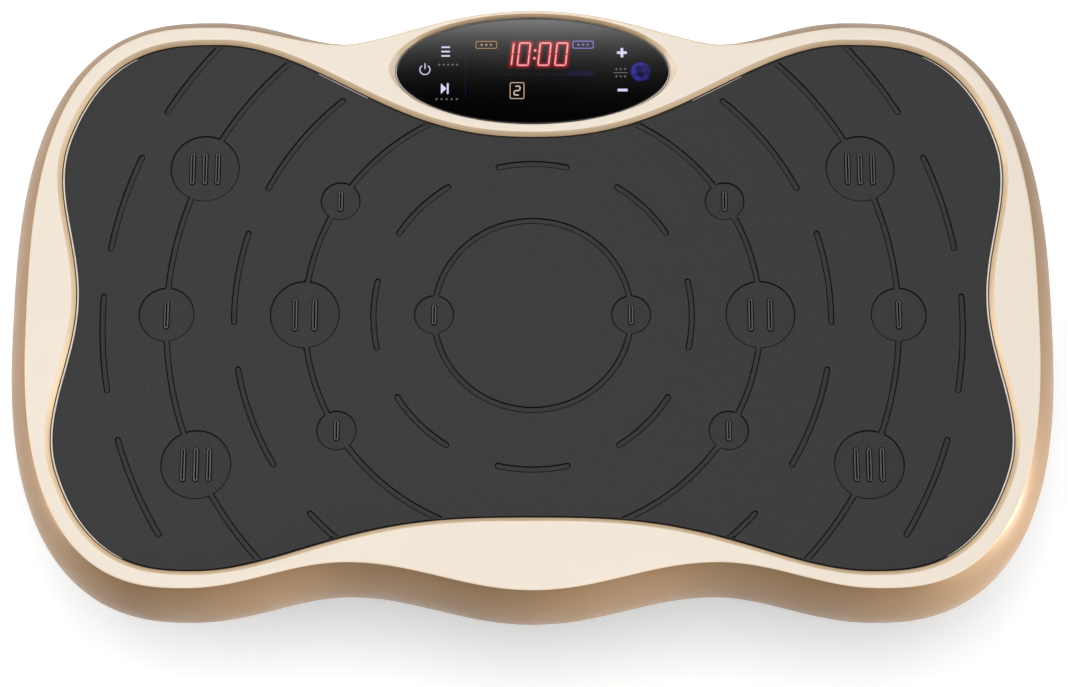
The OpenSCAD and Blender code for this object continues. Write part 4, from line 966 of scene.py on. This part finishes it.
def glow_sheet(name, lo, hi, cell, strength, finish):
    """A thin sheet on the lens that lights up where strength, of a point's x and y, says."""
    xs = np.arange(lo[0], hi[0] + cell / 2, cell)
    ys = np.arange(lo[1], hi[1] + cell / 2, cell)
    grid = np.array([(x, y) for y in ys for x in xs])
    rows = np.arange(len(grid)).reshape(len(ys), len(xs))
    sheet = Solid()
    sheet.ring(grid + (0, LENS_Y), LENS_HI[2] + SHEET_T)
    for near, far in zip(rows, rows[1:]):
        for corners in zip(near, near[1:], far[1:], far):
            sheet.face([int(k) for k in corners], 0)
    border = np.concatenate([rows[0, :-1], rows[:-1, -1], rows[-1, :0:-1], rows[:0:-1, 0]])
    low = sheet.ring(grid[border] + (0, LENS_Y), LENS_HI[2])
    sheet.strip(border.tolist(), low)
    sheet.fan(low, grid.mean(axis=0) + (0, LENS_Y), LENS_HI[2], up=False)
    piece = sheet.build(name, [finish])
    values = piece.data.attributes.new("glow", "FLOAT", "POINT")
    unlit = np.zeros(len(sheet.points) - len(grid))
    values.data.foreach_set("value", np.concatenate([strength(grid), unlit]).astype(np.float32))
    return piece


def line_distance(points, lines):
    best = np.full(len(points), np.inf)
    for p, q in lines:
        along = q - p
        share = np.clip(((points - p) @ along) / (along @ along), 0, 1)
        best = np.minimum(best, np.hypot(*(points - p - share[:, None] * along).T))
    return best


def lamp(name, red, green, blue):
    return glass(name).lit(tone(red, green, blue)).mottle(2, 0.1).material


def clock():
    """The lit digits and the halo round them."""
    lines = segments(ONE, ONE_X, DIGIT_LOW, DIGIT_W, DIGIT_H)
    for x in ZERO_X:
        lines += segments(ZERO, x, DIGIT_LOW, DIGIT_W, DIGIT_H)
    digits = Marks()
    for p, q in lines:
        digits.bar(p, q, SEGMENT_W)
    for at in COLON_AT:
        digits.dot(at, COLON_D)
    yield digits.build("lit_digits", [lamp("lit_red", 250, 168, 170)])

    colon = [(np.array(at), np.array(at) + (0, COLON_LINE)) for at in COLON_AT]

    def red(points):
        d = line_distance(points, lines + colon)
        past = np.maximum(d - SEGMENT_W / 2, 0) / HALO_REACH
        return HALO_LIGHT * np.exp(-past ** HALO_POWER) * (d < HALO_END)

    halo = glass("red_halo").glow(tone(235, 24, 48)).mottle(30, 0.1).material
    yield glow_sheet("digit_glow", HALO_LO, HALO_HI, HALO_CELL, red, halo)


def keys():
    symbols = Marks()
    x, y = POWER_AT
    opening = np.radians(np.linspace(*POWER_OPEN, POWER_N))
    outer, inner = (np.stack([x + r * np.cos(opening), y + r * np.sin(opening)], 1)
                    for r in (POWER_R + POWER_LINE / 2, POWER_R - POWER_LINE / 2))
    symbols.plate(np.concatenate([outer, inner[::-1]]))
    symbols.box((x, y + POWER_BAR_UP), POWER_LINE, POWER_BAR_LEN)
    x, y = PLAY_AT
    symbols.plate([(x - PLAY_BACK, y - PLAY_HALF), (x + PLAY_TIP, y), (x - PLAY_BACK, y + PLAY_HALF)])
    symbols.box((x + PAUSE_X, y), PAUSE_W, 2 * PLAY_HALF)
    for row in (-1, 0, 1):
        symbols.box((MENU_AT[0], MENU_AT[1] + row * MENU_PITCH), MENU_W, MENU_H)
    arm, far = SIGN_W / 2, SIGN_LEN / 2
    cross = [(-far, -arm), (-arm, -arm), (-arm, -far), (arm, -far), (arm, -arm), (far, -arm),
             (far, arm), (arm, arm), (arm, far), (-arm, far), (-arm, arm), (-far, arm)]
    symbols.plate(np.array(cross) + PLUS_AT, middle=PLUS_AT)
    symbols.box(MINUS_AT, SIGN_LEN, SIGN_W)
    return symbols.build("key_symbols", [lamp("lit_lavender", 218, 214, 250)])


def labels():
    rows = Marks()
    for middle, count, pitch in LABEL_ROWS:
        rows.dots(middle, count, pitch, LABEL_D)
    rows.box(*LABEL_LINE)
    # The printed label marks glow with painted light instead of being lit by the lamps
    return rows.build("label_dots", [lamp("printed_grey_painted_glow", 112, 110, 116)])


def badge(name, at, frame_size, finish):
    marks = Marks()
    marks.frame(at, *frame_size)
    marks.dots(at, *BADGE_DOTS)
    return marks.build(name, [finish])


def program_box():
    marks = Marks()
    marks.frame(PROGRAM_AT, *PROGRAM_FRAME)
    for p, q in segments(TWO, *PROGRAM_DIGIT):
        marks.bar(p, q, PROGRAM_LINE)
    return marks.build("program_box", [lamp("lit_cream", 228, 198, 178)])


def bars(name, boxes, finish):
    marks = Marks()
    for box in boxes:
        marks.box(*box)
    return marks.build(name, [finish])


def sensor_window():
    def blue(points):
        x, y = (points - WINDOW_AT).T / WINDOW_R
        d = np.hypot(x, y)
        crescent = d ** 2 * (CRESCENT + CRESCENT_X * x + CRESCENT_Y * y)
        one, two = (np.sin(a * x + b * y + shift) for a, b, shift in FACET_WAVES)
        facets = np.clip(one * two, FACET_LEAST, 1) * (FACET + FACET_X * x)
        light = WINDOW_BASE + WINDOW_CRESCENT * crescent + WINDOW_FACETS * facets
        return np.clip((1 - d) / WINDOW_SOFT, 0, 1) * np.clip(light, WINDOW_LEAST, 1)

    sensor = glass("sensor_blue").glow(tone(66, 54, 190)).mottle(2, 0.1).material
    low, high = WINDOW_AT - WINDOW_HALF, WINDOW_AT + WINDOW_HALF
    return glow_sheet("sensor_window", low, high, WINDOW_CELL, blue, sensor)


def display():
    yield from clock()
    yield keys()
    yield labels()
    yield badge("amber_badge", AMBER_AT, AMBER_FRAME, lamp("lit_amber", 190, 142, 92))
    yield badge("violet_badge", VIOLET_AT, VIOLET_FRAME, lamp("lit_violet", 126, 116, 205))
    yield program_box()
    yield bars("dim_marks", DIM_BARS, lamp("dim_blue", 18, 14, 50))
    # Unlit marks: their faint glow is painted light
    yield bars("unlit_marks", UNLIT_BARS, lamp("unlit_blue_painted_glow", 11, 10, 27))
    yield sensor_window()


STANDS_FOR = {"deck_shell": "top_shell", "tread_mat": "standing_mat", "smoked_lens_plate": "display_lens"}
for piece in (deck_shell(), tread_mat(), smoked_lens()):
    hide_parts(STANDS_FOR[piece.name])
for piece in display():
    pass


# Finishes of the pieces that keep their own shape

def moulded(name, colour, rough):
    return Finish(name, colour, rough).mottle(4, 0.08).gloss(3, 0.06).grain(0.5, 0.02).material


def metal(name, colour, rough):
    return Finish(name, colour, rough, 1.0).mottle(2, 0.08).gloss(1.5, 0.08).grain(0.3, 0.01).material


BLACK_STEEL = Finish("black_steel", tone(58, 60, 63), 0.5, 0.4)
MOTOR_PAINT = Finish("motor_paint", tone(62, 66, 72), 0.4, 0.3)
SLOT_FINISH = {
    "circuit_board": moulded("board_green", tone(34, 92, 54), 0.45),
    "led_block": moulded("module_grey", tone(46, 46, 50), 0.4),
    "spring_steel": metal("spring_steel", tone(205, 205, 208), 0.25),
    "screw_steel": metal("screw_steel", tone(176, 178, 182), 0.3),
    "steel_frame": BLACK_STEEL.mottle(6, 0.1).gloss(4, 0.08).grain(0.8, 0.03).material,
    "ground_steel": metal("ground_steel", tone(196, 198, 201), 0.2),
    "bronze": metal("bush_bronze", tone(176, 128, 70), 0.35),
    "cast_blocks": metal("cast_alloy", tone(150, 152, 155), 0.55),
    "dark_tray": moulded("tray_plastic", tone(44, 43, 43), 0.5),
    "foot_rubber": moulded("foot_rubber", tone(30, 30, 31), 0.8),
    "motor_paint": MOTOR_PAINT.mottle(5, 0.08).gloss(3, 0.06).grain(0.6, 0.02).material,
    "belt_rubber": moulded("belt_rubber", tone(26, 26, 27), 0.75),
    "alloy": metal("turned_alloy", tone(190, 192, 195), 0.3),
    "standoff_brass": metal("standoff_brass", tone(200, 165, 90), 0.3),
    "winding": moulded("winding_tape", tone(196, 150, 60), 0.5),
    "capacitor_sleeve": moulded("capacitor_sleeve", tone(38, 44, 70), 0.35),
    "black_fitting": moulded("fitting_black", tone(24, 24, 25), 0.45),
    "red_rocker": moulded("rocker_red", tone(170, 28, 26), 0.35),
    "champagne_shell": CREAM,
    "tread_rubber": RUBBER,
    "black_lens": SMOKED,
}
for row in frame["record"]["subparts"]:
    node = frame["nodes"][row["node"]]
    node.data.materials.clear()
    node.data.materials.append(SLOT_FINISH[row["material_slot"]])


# Floor, light and camera, in m

# The floor's own light, as the camera and reflections see it, grows with the distance from the part
FLOOR_HALF = 30.0
FLOOR_WHITE = 0.82
FLOOR_ROUGH = 0.9
FLOOR_NEAR, FLOOR_FAR = 0.8, 3.0
FLOOR_LIFT, FLOOR_FAR_LIFT = 0.46, 0.78

# Sky: its light low down and overhead, and the share of it in front of the part and behind
HORIZON, ZENITH = 0.40, 0.08
HORIZON_TO, ZENITH_FROM = 0.15, 0.75
FRONT_SHARE, BACK_SHARE = 0.25, 1.0

# A card over the back of the display that fades toward the front, for the sheen across the lens
CARD_Z = 1.9
CARD_HALF = 0.7
CARD_FRONT, CARD_BACK = 0.72, 0.92
CARD_FULL = 0.88
CARD_POWER = 6
CARD_LIGHT = 9.2

# Softboxes aimed at the mat, as (name, place, width, height, power in W)
SOFTBOXES = [
    ("overhead", (0.0, -0.1, 2.4), 2.2, 1.5, 34),
    ("back_box", (0.0, 1.3, 1.75), 1.3, 0.6, 8),
    ("left_box", (-1.5, 0.15, 0.7), 0.7, 1.4, 8),
    ("right_box", (1.5, 0.05, 0.7), 0.7, 1.4, 1.5),
    ("right_front_box", (0.9, -0.75, 0.2), 0.6, 0.36, 3),
]

# Low soft-edged spots that rake along the skirt, as (name, place, aim, power in W)
SPOTS = [
    ("right_spot", (1.4, -0.45, 0.09), (-0.05, -0.16, 0.09), 195),
    ("left_spot", (-1.4, -0.3, 0.09), (-0.25, -0.06, 0.08), 40),
]
SPOT_SPREAD = math.radians(15)
SPOT_BLEND = 0.6
SPOT_RADIUS = 0.2

TARGET = Vector((0.0007, -0.0227, MAT_Z * MM))
ELEVATION = math.radians(74.25)
DISTANCE = 1.4925
FOCAL_LENGTH = 100.4
SENSOR_WIDTH = 36.0
CLIP_START = 0.01


def math_node(nodes, links, operation, a, b):
    node = nodes.new("ShaderNodeMath")
    node.operation = operation
    links.new(a, node.inputs[0])
    links.new(b, node.inputs[1])
    return node.outputs["Value"]


def white_floor():
    floor = bpy.data.materials.new("floor_white")
    floor.use_nodes = True
    nodes, links = floor.node_tree.nodes, floor.node_tree.links
    shader = nodes["Principled BSDF"]
    shader.inputs["Base Color"].default_value = [FLOOR_WHITE, FLOOR_WHITE, FLOOR_WHITE, 1]
    shader.inputs["Roughness"].default_value = FLOOR_ROUGH
    shader.inputs["Specular IOR Level"].default_value = 0.0
    rays = nodes.new("ShaderNodeLightPath")
    seen = rays.outputs["Is Camera Ray"]
    for name in ("Is Glossy Ray", "Is Transmission Ray"):
        seen = math_node(nodes, links, "MAXIMUM", seen, rays.outputs[name])
    place = nodes.new("ShaderNodeNewGeometry")
    reach = nodes.new("ShaderNodeVectorMath")
    reach.operation = "LENGTH"
    links.new(place.outputs["Position"], reach.inputs[0])
    lift = nodes.new("ShaderNodeMapRange")
    lift.inputs["From Min"].default_value = FLOOR_NEAR
    lift.inputs["From Max"].default_value = FLOOR_FAR
    lift.inputs["To Min"].default_value = FLOOR_LIFT
    lift.inputs["To Max"].default_value = FLOOR_FAR_LIFT
    links.new(reach.outputs["Value"], lift.inputs["Value"])
    share = math_node(nodes, links, "MULTIPLY", seen, lift.outputs["Result"])
    shader.inputs["Emission Color"].default_value = [1, 1, 1, 1]
    links.new(share, shader.inputs["Emission Strength"])
    return floor


def fading_card():
    card = bpy.data.materials.new("fading_card")
    card.use_nodes = True
    nodes, links = card.node_tree.nodes, card.node_tree.links
    nodes.remove(nodes["Principled BSDF"])
    glow = nodes.new("ShaderNodeEmission")
    place = nodes.new("ShaderNodeNewGeometry")
    split = nodes.new("ShaderNodeSeparateXYZ")
    rise = nodes.new("ShaderNodeMapRange")
    rise.inputs["From Min"].default_value = CARD_FRONT
    rise.inputs["From Max"].default_value = CARD_FULL
    rise.inputs["To Max"].default_value = CARD_LIGHT ** (1 / CARD_POWER)
    curve = nodes.new("ShaderNodeMath")
    curve.operation = "POWER"
    curve.inputs[1].default_value = CARD_POWER
    links.new(place.outputs["Position"], split.inputs["Vector"])
    links.new(split.outputs["Y"], rise.inputs["Value"])
    links.new(rise.outputs["Result"], curve.inputs[0])
    links.new(curve.outputs["Value"], glow.inputs["Strength"])
    links.new(glow.outputs["Emission"], nodes["Material Output"].inputs["Surface"])
    return card


def stage_sheet(name, low, high, z, finish):
    (x0, y0), (x1, y1) = low, high
    mesh = bpy.data.meshes.new(name)
    mesh.from_pydata([(x0, y0, z), (x1, y0, z), (x1, y1, z), (x0, y1, z)], [], [(0, 1, 2, 3)])
    mesh.materials.append(finish)
    sheet = bpy.data.objects.new(name, mesh)
    bpy.context.collection.objects.link(sheet)


def studio_sky():
    world = bpy.data.worlds.new("studio")
    bpy.context.scene.world = world
    world.use_nodes = True
    nodes, links = world.node_tree.nodes, world.node_tree.links
    sky = nodes["Background"]
    direction = nodes.new("ShaderNodeTexCoord")
    split = nodes.new("ShaderNodeSeparateXYZ")
    ramp = nodes.new("ShaderNodeValToRGB")
    low, high = ramp.color_ramp.elements
    low.color = [HORIZON, HORIZON, HORIZON, 1]
    high.color = [ZENITH, ZENITH, ZENITH, 1]
    low.position = HORIZON_TO
    high.position = ZENITH_FROM
    depth = nodes.new("ShaderNodeMapRange")
    depth.inputs["From Min"].default_value = -1.0
    depth.inputs["To Min"].default_value = FRONT_SHARE
    depth.inputs["To Max"].default_value = BACK_SHARE
    links.new(direction.outputs["Generated"], split.inputs["Vector"])
    links.new(split.outputs["Z"], ramp.inputs["Fac"])
    links.new(ramp.outputs["Color"], sky.inputs["Color"])
    links.new(split.outputs["Y"], depth.inputs["Value"])
    links.new(depth.outputs["Result"], sky.inputs["Strength"])


def hang(light, place, aim, power):
    light.energy = power
    fitting = bpy.data.objects.new(light.name, light)
    fitting.location = place
    fitting.rotation_euler = (Vector(aim) - Vector(place)).to_track_quat("-Z", "Y").to_euler()
    bpy.context.collection.objects.link(fitting)


def softbox(name, place, width, height, power):
    light = bpy.data.lights.new(name, "AREA")
    light.shape = "RECTANGLE"
    light.size, light.size_y = width, height
    hang(light, place, TARGET, power)


def spot(name, place, aim, power):
    light = bpy.data.lights.new(name, "SPOT")
    light.spot_size = SPOT_SPREAD
    light.spot_blend = SPOT_BLEND
    light.shadow_soft_size = SPOT_RADIUS
    hang(light, place, aim, power)


def photo_camera():
    camera = bpy.data.objects.new("camera", bpy.data.cameras.new("camera"))
    camera.location = TARGET + DISTANCE * Vector((0, -math.cos(ELEVATION), math.sin(ELEVATION)))
    camera.rotation_euler = (math.pi / 2 - ELEVATION, 0, 0)
    camera.data.sensor_width = SENSOR_WIDTH
    camera.data.sensor_fit = "HORIZONTAL"
    camera.data.lens = FOCAL_LENGTH
    camera.data.clip_start = CLIP_START
    bpy.context.collection.objects.link(camera)
    bpy.context.scene.camera = camera


studio_sky()
for box in SOFTBOXES:
    softbox(*box)
for beam in SPOTS:
    spot(*beam)
stage_sheet("floor", (-FLOOR_HALF, -FLOOR_HALF), (FLOOR_HALF, FLOOR_HALF), 0.0, white_floor())
stage_sheet("lens_card", (-CARD_HALF, CARD_FRONT), (CARD_HALF, CARD_BACK), CARD_Z, fading_card())
photo_camera()
bpy.context.scene.view_settings.view_transform = "Standard"
